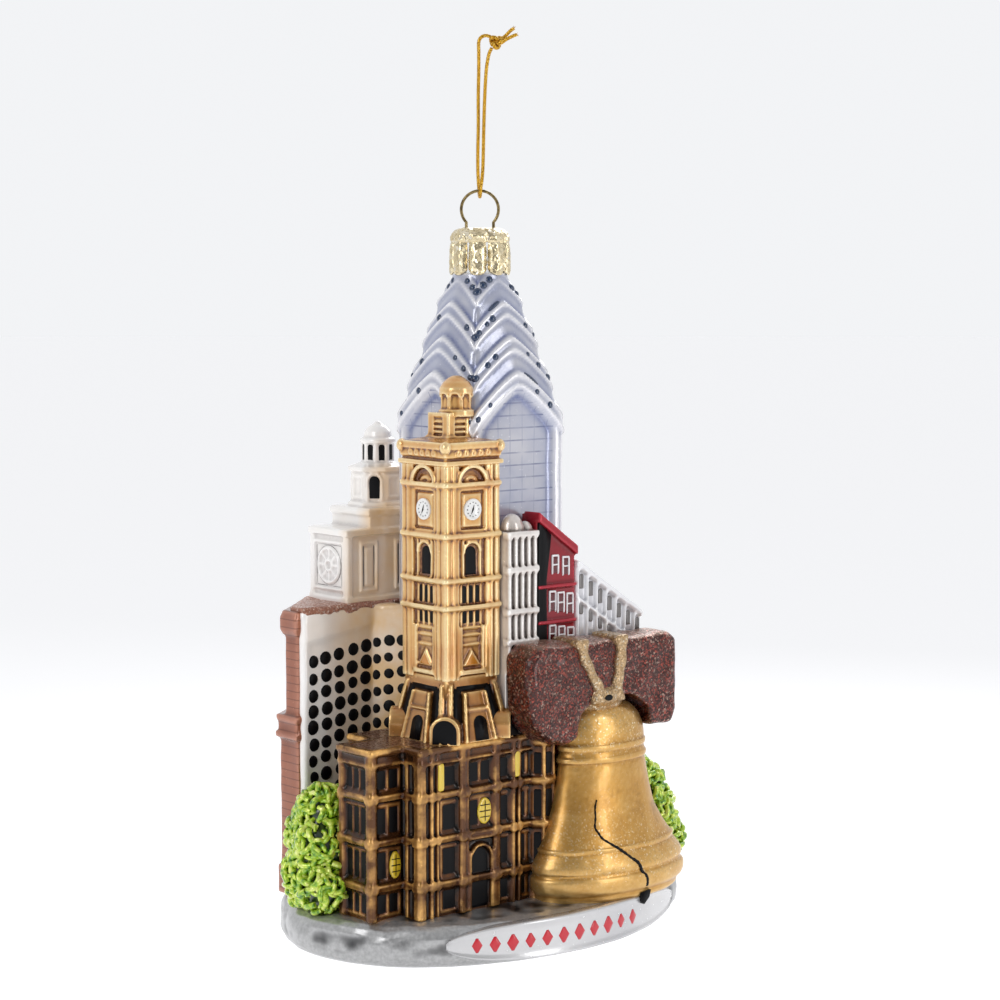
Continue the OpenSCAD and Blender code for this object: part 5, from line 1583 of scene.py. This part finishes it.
for x0, x1, out in ((0, 1, 0.0),):
    terrace.prism([[(x, y, z) for x, z in ((terrace_low.x, terrace_low.z - 0.5), (terrace_high.x - 0.3, terrace_low.z - 0.5),
                                            (terrace_high.x - 0.3, terrace_roof(terrace_high.x) - 0.3), (terrace_low.x, terrace_high.z - 0.3))]
                   for y in (terrace_high.y - 0.2, FRONT_Y + 0.7)])
for d0, d1, z0, z1 in ((-13, 0.1, -1.5, 0.1), (-1.5, 0.35, -0.8, -0.1), (-1.5, 0.1, -7.9, -7.2)):
    house_front.plate(terrace, [(terrace_low.x, terrace_high.z + z0), (terrace_high.x, terrace_roof(terrace_high.x) + z0),
                                (terrace_high.x, terrace_roof(terrace_high.x) + z1), (terrace_low.x, terrace_high.z + z1)], d0, d1)
for k in range(7):
    x = terrace_low.x + 1.7 + k * 2.55
    top = terrace_roof(x) - 2.0
    house_front.bar(terrace, x - 1.4, x - 1.0, terrace_low.z, terrace_roof(x) - 1, -1.5, 0.05)
    house_front.dab(marks, arch_outline(x, 0.55, top - 3.0, top), -0.62, 0.14)
    house_front.dab(marks, soft_box_outline(x - 0.5, x + 0.5, top - 8.2, top - 5.6), -0.62, 0.14)
end = Wall((terrace_high.x, (terrace_low.y + terrace_high.y) / 2), (1, 0))
for v in (-5.2, -1.8, 1.8, 5.2):
    end.bar(terrace, v - 0.35, v + 0.35, terrace_low.z, terrace_roof(terrace_high.x) - 0.8, -1.5, 0.1)
for v in (-3.5, 0, 3.5):
    for z in (57, 49, 41):
        end.dab(marks, soft_box_outline(v - 0.9, v + 0.9, z - 2.2, z + 2.2), -0.32, 0.14)
silver_white, tree, shader, paint = lacquered(
    "silver_white", 0.3, 0.8, colour=(0.80, 0.80, 0.83), hollow=(0.25, 0.25, 0.30), ridge=(0.97, 0.97, 0.97),
    hollow_amount=1.0, ridge_amount=0.7, wash=(0.86, 0.84, 0.86), wash_amount=0.4, wash_scale=80.0)
glass_piece("terrace", ["white_terrace"], [
    (terrace.press("terrace_glass", 0.32, 3, 0.1), silver_white), marks.paint("terrace_windows", grey_enamel)])

# ---- Bell and yoke ------------------------------------------------------------------------------
# Half of an old bell in antique gold, with rings, a heavy lip and a painted crack; it hangs from a
# timber yoke strewn with red-brown glitter, by two straps strewn with gold.
bell_low, bell_high = grid_box("bell")
yoke_low, yoke_high = grid_box("yoke")
strap_low, strap_high = grid_box("yoke_straps")
BELL_MID = ((bell_low.x + bell_high.x) / 2, -20.0)
BELL_A = (bell_high.x - bell_low.x) / 2
BELL_B = BELL_MID[1] - bell_low.y
BELL_FOOT = bell_low.z
BELL_H = bell_high.z - bell_low.z
# share of the lip's radius and of the height, from the mouth up
bell_rings = [
    (0.72, -0.01), (0.86, -0.015), (0.93, 0.0), (0.945, 0.018), (0.955, 0.03), (1.0, 0.05), (1.02, 0.08), (1.015, 0.11), (0.985, 0.125),
    (0.98, 0.138), (0.995, 0.152), (0.985, 0.18), (0.94, 0.215), (0.90, 0.24), (0.902, 0.25), (0.902, 0.262), (0.872, 0.275),
    (0.81, 0.32), (0.74, 0.385), (0.685, 0.45),
    (0.642, 0.52), (0.61, 0.59), (0.588, 0.65), (0.575, 0.685), (0.592, 0.695), (0.594, 0.712), (0.575, 0.724), (0.562, 0.745),
    (0.578, 0.756), (0.58, 0.775), (0.56, 0.788), (0.548, 0.83), (0.525, 0.87), (0.475, 0.915), (0.40, 0.95), (0.33, 0.97), (0.26, 0.985),
    (0.235, 1.02)]


def bell_axis(r):
    """The relief leans to the right where the bell flares."""
    return BELL_MID[0] + 1.7 * max(0, r - 0.7) / 0.3


def bell_radius(height):
    """Share of the lip's radius at a share of the bell's height."""
    for (r0, h0), (r1, h1) in zip(bell_rings[1:], bell_rings[2:]):
        if h0 <= height <= h1:
            return r0 + (r1 - r0) * (height - h0) / (h1 - h0)
    return bell_rings[-1][0]


def bell_point(degrees, height, lift=0.0):
    """A point of the bell's skin: degrees to the right of its street-side middle."""
    a = math.radians(degrees)
    r = bell_radius(height)
    return Vector((bell_axis(r) + (BELL_A * r + lift) * math.sin(a), BELL_MID[1] - (BELL_B * r + lift) * math.cos(a), BELL_FOOT + BELL_H * height))


BELL_SIDES = 160
bell_path = [Vector((r, 0, h)) for r, h in bell_rings]
bell_steps = []
for i in range(len(bell_path) - 1):
    a, b, c, d = bell_path[max(i - 1, 0)], bell_path[i], bell_path[i + 1], bell_path[min(i + 2, len(bell_path) - 1)]
    for t in (0, 0.25, 0.5, 0.75):
        bell_steps.append(0.5 * (2 * b + (c - a) * t + (2 * a - 5 * b + 4 * c - d) * t * t + (3 * b - a - 3 * c + d) * t**3))
bell_steps.append(bell_path[-1])


def bell_vertex(row, share):
    r, _, h = bell_steps[row]
    a = 2 * math.pi * share
    p = Vector((bell_axis(r) + BELL_A * r * math.cos(a), BELL_MID[1] + BELL_B * r * math.sin(a), BELL_FOOT + BELL_H * h))
    p.z += 0.12 * noise.noise(p * 0.12)
    return p + Vector((math.cos(a), math.sin(a), 0)) * (0.16 * noise.noise(p * 0.2) + 0.03 * noise.noise(p * 1.4))


bell_mesh = ring_grid("bell_skin", len(bell_steps), BELL_SIDES, bell_vertex, Matrix.Identity(4), close_top=True, close_foot=True)
mark_relief(bell_mesh, 0.12, 8)
crack_route = [(-30, 0.51), (-31.5, 0.47), (-31, 0.42), (-32, 0.375), (-29, 0.345), (-25.5, 0.315), (-19, 0.285), (-14, 0.262), (-9, 0.235),
               (-5, 0.205), (-1, 0.18), (1.5, 0.15), (3, 0.125), (5.5, 0.095), (6.5, 0.06), (7, 0.045)]
crack_line = smooth_route([bell_point(a, h, 0.02) for a, h in crack_route], 5)
crack_tube = Mould()
n = len(crack_line)
rings = []
for i, p in enumerate(crack_line):
    heading = (crack_line[min(i + 1, n - 1)] - crack_line[max(i - 1, 0)]).normalized()
    out = Vector((p.x - BELL_MID[0], (p.y - BELL_MID[1]) * (BELL_A / BELL_B) ** 2, 0)).normalized()
    side = heading.cross(out).normalized()
    r = 0.10 + 0.30 * (i / n) ** 0.7 + 0.05 * math.sin(i * 1.9)
    rings.append([p + side * r * math.cos(2 * math.pi * k / 10) + out * 0.16 * math.sin(2 * math.pi * k / 10) for k in range(10)])
crack_tube.prism(rings)
tip = bell_point(7, 0.0, 0.5)
chip = [(tip.x + dx, BELL_FOOT + dz) for dx, dz in ((-1.0, 0.5), (1.6, 0.8), (1.2, -0.6), (-0.2, -1.9), (-0.8, -1.0))]
crack_tube.prism([[(x, tip.y + dy, z) for x, z in chip] for dy in (0, 3)])
bell_gold, tree, shader, paint = lacquered(
    "bell_gold", 0.75, 0.2, colour=(0.56, 0.30, 0.07), hollow=(0.16, 0.06, 0.01), ridge=(0.88, 0.60, 0.24),
    hollow_amount=1.4, ridge_amount=0.9, wash=(0.36, 0.17, 0.03), wash_amount=0.6, wash_scale=55.0, dullness=0.26)
dust = place_group(tree, glitter, flakes_per_metre=3400.0, tilt=0.5, cover=0.34, ground=(0.5, 0.3, 0.1),
                   flake=(0.80, 0.58, 0.28), second_flake=(0.95, 0.86, 0.62))
drift = object_noise(tree, 45, 2.0)
where = add(tree, "ShaderNodeTexCoord")
axes = add(tree, "ShaderNodeSeparateXYZ")
join(tree, (where.outputs["Object"], axes.inputs[0]))
BELL_LOW_Z = foot_z + BELL_FOOT * MM
settle = add(tree, "ShaderNodeFloatCurve")
rise = add(tree, "ShaderNodeMapRange", {"From Min": BELL_LOW_Z, "From Max": BELL_LOW_Z + BELL_H * MM})
curve = settle.mapping.curves[0]
for at, value in ((0.06, 0.15), (0.2, 0.85), (0.42, 0.35), (0.6, 0.12), (0.8, 0.75)):
    curve.points.new(at, value)
curve.points[0].location = (0, 0)
curve.points[-1].location = (1, 1)
settle.mapping.update()
join(tree, (axes.outputs["Z"], rise.inputs["Value"]), (rise.outputs["Result"], settle.inputs["Value"]))
strewn = maths(tree, "MULTIPLY", dust.outputs["Flake mask"], maths(tree, "MULTIPLY", settle.outputs[0],
               maths(tree, "MULTIPLY", drift.outputs["Fac"], 1.6), True))
join(tree, (mix_colour(tree, strewn, paint.outputs["Color"], dust.outputs["Color"]), shader.inputs["Base Color"]))
glass_piece("bell_form", ["bell"], [(bell_mesh, bell_gold), crack_tube.paint("crack", black_enamel)])

yoke = Mould()
YOKE_Y0, YOKE_Y1 = yoke_low.y, yoke_high.y
beam = [(yoke_low.x, yoke_low.z + 9), (yoke_low.x + 1.5, yoke_low.z + 4), (yoke_low.x + 5, yoke_low.z + 1), (BELL_MID[0] - 13, yoke_low.z - 0.6),
        (BELL_MID[0] - 10.2, yoke_low.z + 1), (BELL_MID[0] - 9.0, 45.5), (BELL_MID[0] - 5, 48.2), (BELL_MID[0] + 5, 48.2),
        (BELL_MID[0] + 9.2, 45), (BELL_MID[0] + 10, yoke_low.z + 1.2), (yoke_high.x - 1.5, yoke_low.z + 1), (yoke_high.x, yoke_low.z + 3.5),
        (yoke_high.x, yoke_high.z - 1.5), (yoke_high.x - 2, yoke_high.z), (yoke_low.x + 2, yoke_high.z), (yoke_low.x, yoke_high.z - 2.5)]
yoke_mid = ((yoke_low.x + yoke_high.x) / 2, 50)
beam_inner = [(yoke_mid[0] + (x - yoke_mid[0]) * 0.965, yoke_mid[1] + (z - yoke_mid[1]) * 0.93) for x, z in beam]
yoke.prism([[(x, y, z) for x, z in outline] for outline, y in (
    (beam, YOKE_Y1 + 0.3), (beam, YOKE_Y0 + 1.6), (beam_inner, YOKE_Y0 + 0.1))])
yoke_glitter = glittered("yoke_glitter", 0.55, 0.34, 0.4, 0.0002, 0.55, (0.46, 0.33, 0.24), flakes_per_metre=3000.0, tilt=0.7, cover=0.74,
                         ground=(0.040, 0.009, 0.006), flake=(0.46, 0.075, 0.045), second_flake=(0.72, 0.46, 0.36))
yoke_skin = yoke.press("yoke_skin", 0.36, 7, 0.45)
glass_piece("yoke_beam", ["yoke"], [(yoke_skin, yoke_glitter)])

straps = Mould()
STRAP_HALF = 1.6
for ways in (((5.6, 0.4), (6.0, -2.5), (8.0, -6.2), (9.9, -9.5), (9.6, -12.5)), ((16.0, 0.4), (16.0, -3), (15.6, -6.5), (15.0, -9.5), (15.6, -12.5))):
    route = smooth_route([(x, 0, yoke_high.z + dz) for x, dz in ways], 6)
    bands = []
    for i, p in enumerate(route):
        wide = STRAP_HALF * (1.15 if i < 4 else 0.92 + 0.12 * math.sin(i * 0.9))
        bands.append([(p.x - wide, YOKE_Y0 + 1.5, p.z), (p.x - wide * 0.8, YOKE_Y0 - 0.75, p.z), (p.x + wide * 0.8, YOKE_Y0 - 0.75, p.z),
                      (p.x + wide, YOKE_Y0 + 1.5, p.z)])
    straps.prism(bands)
    x = ways[0][0]
    straps.box((x - STRAP_HALF, YOKE_Y0 - 0.4, yoke_high.z - 1), (x + STRAP_HALF, YOKE_Y1 - 0.5, yoke_high.z + 0.65))
straps.ball((12.6, YOKE_Y0 + 2.2, BELL_FOOT + BELL_H + 1.2), (5.0, 3.2, 2.4))
straps.ball((BELL_MID[0] - 1.5, -20.5, BELL_FOOT + BELL_H - 0.6), (6.0, 3.6, 2.2))
gold_glitter = glittered("gold_glitter", 0.7, 0.3, 0.3, 0.00014, flakes_per_metre=2900.0, tilt=0.5, cover=0.8, ground=(0.36, 0.23, 0.11),
                         flake=(0.80, 0.58, 0.34), second_flake=(0.95, 0.85, 0.66))
eye = Mould()
loop = Wall((12.0, YOKE_Y0 - 0.9), (0, -1))
loop.dab(eye, oval_outline(0, BELL_FOOT + BELL_H + 1.0, 0.95, 0.6), 0.1, 0.1)
glass_piece("bell_straps", ["yoke_straps"], [
    (straps.press("strap_skin", 0.25, 5, 0.12), gold_glitter), eye.paint("strap_eye", black_enamel)])

# ---- Base, plaque and neck ----------------------------------------------------------------------
# The foot of the ornament: an uneven oval of silvered glass, darker in its folds with dark patina and painted shade. A
# white oval plaque stands proud on the street side, edged in silver, with a row of red lozenges.
base_low, base_high = grid_box("base")
BASE_MID = Vector((4.2, 4.6, 0))
BASE_TURN = math.radians(7)
BASE_A, BASE_B = 46.5, 34.5
BASE_TOP = base_high.z


def base_rim(angle, out=0.0):
    x, y = (BASE_A + out) * math.cos(angle), (BASE_B + out) * math.sin(angle)
    return BASE_MID + Vector((x * math.cos(BASE_TURN) - y * math.sin(BASE_TURN), x * math.sin(BASE_TURN) + y * math.cos(BASE_TURN), 0))


base_profile = [(0.0, 0.35), (-6.0, 0.3), (-3.2, 0.0), (-1.9, 0.1), (-0.9, 0.7), (-0.2, 1.7), (0.0, 3.0), (0.0, 4.6), (-0.25, 6.2),
                (-0.9, 7.3), (-2.0, 8.1), (-3.6, 8.5), (-7.0, 8.6), (-14.0, 8.5)]
BASE_ROWS = 60


def base_vertex(row, share):
    x = row / (BASE_ROWS - 1) * (len(base_profile) - 2) + 1
    i = min(int(x), len(base_profile) - 2)
    t = x - i
    out = base_profile[i][0] * (1 - t) + base_profile[i + 1][0] * t
    z = base_profile[i][1] * (1 - t) + base_profile[i + 1][1] * t
    a = 2 * math.pi * share
    p = base_rim(a, out)
    p.z = z
    away = (base_rim(a, 1) - base_rim(a, 0)).normalized()
    low = noise.noise(Vector((p.x * 0.09, p.y * 0.09, 2))) * 1.0
    fold = noise.noise(Vector((p.x * 0.17, p.y * 0.17, p.z * 0.30))) * 0.8 + noise.noise(Vector((p.x, p.y, p.z)) * 0.5) * 0.10
    on_side = math.exp(-((z - 4.2) / 3.6) ** 2)
    p += away * (low * on_side + fold * on_side)
    p.z += (0.35 * noise.noise(Vector((p.x * 0.3, p.y * 0.3, 5)))) * min(1, z / 3)
    return p


base_mesh = ring_grid("base_skin", BASE_ROWS, 420, base_vertex, Matrix.Identity(4), close_top=True, close_foot=True)
mark_relief(base_mesh, 0.16, 60)
# Dark folds: partly patina, partly painted shade; pale ridges: partly rubbed paint, partly painted highlight.
stone_silver, tree, shader, paint = lacquered(
    "stone_silver", 0.65, 0.25, colour=(0.20, 0.20, 0.20), hollow=(0.02, 0.02, 0.022), ridge=(0.58, 0.58, 0.58),
    hollow_amount=1.6, ridge_amount=0.7, wash=(0.045, 0.045, 0.048), wash_amount=0.9, wash_scale=48.0, dullness=0.24)
glass_piece("base_form", ["base"], [(base_mesh, stone_silver)])

PLAQUE_FROM, PLAQUE_TO = math.radians(222), math.radians(303)
PLAQUE_MID_Z, PLAQUE_HALF = 4.6, 3.8
PLAQUE_COLUMNS = 120


def plaque_half(share):
    """Half the plaque's height along it: an oval with blunt ends."""
    s = abs(2 * share - 1)
    return PLAQUE_HALF * (1 - s**3.2) ** 0.5


plaque = Mould()
plaque_rings = []
for i in range(PLAQUE_COLUMNS + 1):
    share = 0.004 + 0.992 * i / PLAQUE_COLUMNS
    a = PLAQUE_FROM + (PLAQUE_TO - PLAQUE_FROM) * share
    h = plaque_half(share)
    ring = []
    for up, out in ((-1, -1.5), (-1, 0.35), (-0.97, 0.72), (-0.88, 0.85), (-0.78, 0.62), (-0.5, 0.66), (0, 0.72), (0.5, 0.66), (0.78, 0.62),
                    (0.88, 0.85), (0.97, 0.72), (1, 0.35), (1, -1.5)):
        p = base_rim(a, out)
        p.z = PLAQUE_MID_Z + up * h + 0.10 * noise.noise(Vector((share * 9, up, 3)))
        ring.append(p)
    plaque_rings.append(ring)
plaque.prism(plaque_rings)
plaque_mesh, _ = plaque.paint("plaque_skin", None)
mark_relief(plaque_mesh, 0.10, 6)
plaque_white, tree, shader, paint = lacquered(
    "plaque_white", 0.45, 0.6, colour=(0.62, 0.615, 0.62), hollow=(0.28, 0.28, 0.30), ridge=(0.90, 0.90, 0.90),
    hollow_amount=0.8, ridge_amount=0.8, wash=(0.42, 0.42, 0.44), wash_amount=0.6, wash_scale=40.0)
red_enamel = enamel("red_enamel", (0.62, 0.015, 0.03), 0.3, 0.0, 0.3)
LOZENGES = 11
LOZENGE_STEP = 4.0
lozenge_sheet = grow("lozenges", dot_tree, columns=LOZENGES, rows=1, width=LOZENGE_STEP * (LOZENGES - 1), height=0.0, slope=0.0,
                     dot_radius=1.0, dot_lift=0.5, stray=0.0, seed=2, paint=red_enamel)
# each lozenge is squeezed to a diamond and laid on the plaque's curve
work = bmesh.new()
work.from_mesh(lozenge_sheet)
for v in work.verts:
    column = round(v.co.x / LOZENGE_STEP + (LOZENGES - 1) / 2)
    dx = v.co.x - (column - (LOZENGES - 1) / 2) * LOZENGE_STEP
    dy, dz = v.co.y, v.co.z
    reach = abs(dx) + abs(dy)
    squeeze = math.hypot(dx, dy) / reach if reach > 1e-6 else 1
    share = 0.40 + (column - (LOZENGES - 1) / 2) * 0.059 + dx * squeeze * 0.021
    p = base_rim(PLAQUE_FROM + (PLAQUE_TO - PLAQUE_FROM) * share, 0.66 + 0.4 * dz)
    v.co = (p.x, p.y, PLAQUE_MID_Z + dy * squeeze * 1.9)
bmesh.ops.recalc_face_normals(work, faces=work.faces)
work.to_mesh(lozenge_sheet)
work.free()
glass_piece("plaque", ["banner"], [(plaque_mesh, plaque_white), (lozenge_sheet, red_enamel)])

# The neck is the blowpipe's stub, a plain tube of clear glass that the cap covers.
neck = Mould()
NECK_R = (neck_high.x - neck_low.x) / 2 / MM
neck_z0, neck_z1 = (neck_low.z - foot_z) / MM, (neck_high.z - foot_z) / MM
bore = NECK_R - 0.9
neck_rows = [(bore, neck_z0 - 1.0), (NECK_R - 0.2, neck_z0 - 1.0), (NECK_R - 0.05, neck_z0), (NECK_R - 0.05, neck_z1 - 0.6), (NECK_R + 0.05, neck_z1 - 0.2),
             (NECK_R - 0.2, neck_z1), (bore + 0.25, neck_z1), (bore, neck_z1 - 0.4), (bore, neck_z0 - 1.0)]
neck_mesh = ring_grid("neck_skin", len(neck_rows), 64, lambda i, k: Vector((neck_rows[i][0] * math.cos(2 * math.pi * k), neck_rows[i][0] * math.sin(2 * math.pi * k),
                      neck_rows[i][1])), Matrix.Rotation(-GRID_TURN, 4, "Z"))
clear_glass, tree, shader = new_material("clear_glass")
set_shader(shader, base_color=(0.86, 0.89, 0.93, 1), metallic=0.3, roughness=0.08, coat_weight=1.0)
glass_piece("neck_tube", ["neck"], [(neck_mesh, clear_glass)])

# ---- Foliage --------------------------------------------------------------------------------
# Clumps of curled leaves, moulded as tight little curls with dark gaps between them and painted in
# glossy yellow-green over a darker green. The near-black core in the gaps is partly that darker
# green and partly painted shade.
curl_tree, curl_in, curl_out = geometry_tree("leaf_curls", {
    "Density": ("Float", 1.0), "Curl length": ("Float", 2.0), "Thickness": ("Float", 0.3), "Seed": ("Int", 1), "Paint": ("Material", None)})
scatter = add(curl_tree, "GeometryNodeDistributePointsOnFaces", distribute_method="POISSON")
scatter.inputs["Distance Min"].default_value = 0.75
arc = add(curl_tree, "GeometryNodeCurveQuadraticBezier", {"Resolution": 9, "Start": (-0.5, 0, 0), "Middle": (0.0, 0.55, 0.75), "End": (0.5, -0.1, 0.05)})
tip = add(curl_tree, "GeometryNodeSplineParameter")
taper = add(curl_tree, "ShaderNodeFloatCurve")
bend = taper.mapping.curves[0]
bend.points[0].location = (0, 0.45)
bend.points[1].location = (1, 0.35)
bend.points.new(0.5, 1.0)
taper.mapping.update()
fat = add(curl_tree, "GeometryNodeSetCurveRadius")
pipe = add(curl_tree, "GeometryNodeCurvePrimitiveCircle", {"Resolution": 8})
leaf = add(curl_tree, "GeometryNodeCurveToMesh", {"Fill Caps": True})
swing = add(curl_tree, "FunctionNodeRandomValue", data_type="FLOAT_VECTOR")
swing.inputs["Min"].default_value = (-0.7, -0.7, 0)
swing.inputs["Max"].default_value = (0.7, 0.7, 6.28)
as_turn = add(curl_tree, "FunctionNodeEulerToRotation")
turned = add(curl_tree, "FunctionNodeRotateRotation", rotation_space="LOCAL")
grades = add(curl_tree, "FunctionNodeRandomValue", data_type="FLOAT")
grades.inputs[2].default_value = 0.7
grades.inputs[3].default_value = 1.3
scaled = maths(curl_tree, "MULTIPLY", grades.outputs[1], curl_in.outputs["Curl length"])
relative = maths(curl_tree, "DIVIDE", curl_in.outputs["Thickness"], curl_in.outputs["Curl length"])
strew = add(curl_tree, "GeometryNodeInstanceOnPoints")
real = add(curl_tree, "GeometryNodeRealizeInstances")
painted = add(curl_tree, "GeometryNodeSetMaterial")
join(curl_tree, (curl_in.outputs["Geometry"], scatter.inputs["Mesh"]), (curl_in.outputs["Density"], scatter.inputs["Density Max"]),
     (curl_in.outputs["Seed"], scatter.inputs["Seed"]), (tip.outputs["Factor"], taper.inputs["Value"]), (arc.outputs[0], fat.inputs["Curve"]),
     (taper.outputs[0], fat.inputs["Radius"]), (relative, pipe.inputs["Radius"]), (fat.outputs[0], leaf.inputs["Curve"]),
     (pipe.outputs[0], leaf.inputs["Profile Curve"]), (scatter.outputs["Points"], strew.inputs["Points"]), (leaf.outputs[0], strew.inputs["Instance"]),
     (scatter.outputs["Rotation"], turned.inputs[0]), (swing.outputs["Value"], as_turn.inputs[0]), (as_turn.outputs[0], turned.inputs[1]),
     (turned.outputs[0], strew.inputs["Rotation"]), (scaled, strew.inputs["Scale"]), (curl_in.outputs["Seed"], swing.inputs["Seed"]),
     (strew.outputs[0], real.inputs[0]), (real.outputs[0], painted.inputs["Geometry"]), (curl_in.outputs["Paint"], painted.inputs["Material"]),
     (painted.outputs[0], curl_out.inputs[0]))

leaf_green, tree, shader = new_material("leaf_green")
hue = object_noise(tree, 800, 2.0)
join(tree, (ramp(tree, hue.outputs["Fac"], [(0.32, (0.06, 0.22, 0.01)), (0.44, (0.30, 0.52, 0.02)), (0.56, (0.58, 0.74, 0.06)),
                                           (0.70, (0.86, 0.92, 0.30))]), shader.inputs["Base Color"]))
set_shader(shader, metallic=0.25, roughness=0.18, coat_weight=0.8)
# The core's near-black green is partly the darker under-colour and partly painted shade in the gaps between the curls.
green_and_gap_shade = enamel("green_and_gap_shade", (0.010, 0.035, 0.006), 0.3)
bush_forms = (
    ("bush_left", ((-35.6, 6.6, 14.5, 6.2), (-36.4, 3.4, 20.5, 5.2), (-35.4, 8.0, 22.5, 5.0), (-34.8, 5.6, 27.2, 4.6), (-38.0, 1.0, 13.0, 4.0)), 8),
    ("bush_right", ((31, -10.2, 15, 6.3), (31.8, -9.0, 21.5, 5.7), (31.0, -9.6, 27.5, 5.2), (32.5, -5.0, 13.0, 4.2),
                    (37.0, -12.6, 14.5, 4.8), (35.8, -11.8, 20.5, 4.8), (34.0, -11.0, 26.0, 4.4)), 9),
)
for node, balls, seed in bush_forms:
    core = Mould()
    for x, y, z, r in balls:
        core.ball((x, y, z), (r, r, r))
    clump = core.press(node + "_core", 0.55, 3, 0.7)
    curls = grow(node + "_curls", curl_tree, clump.copy(), density=1.1, curl_length=2.5, thickness=0.50, seed=seed, paint=leaf_green)
    glass_piece(node + "_leaves", [node], [(curls, leaf_green), (clump, green_and_gap_shade)])
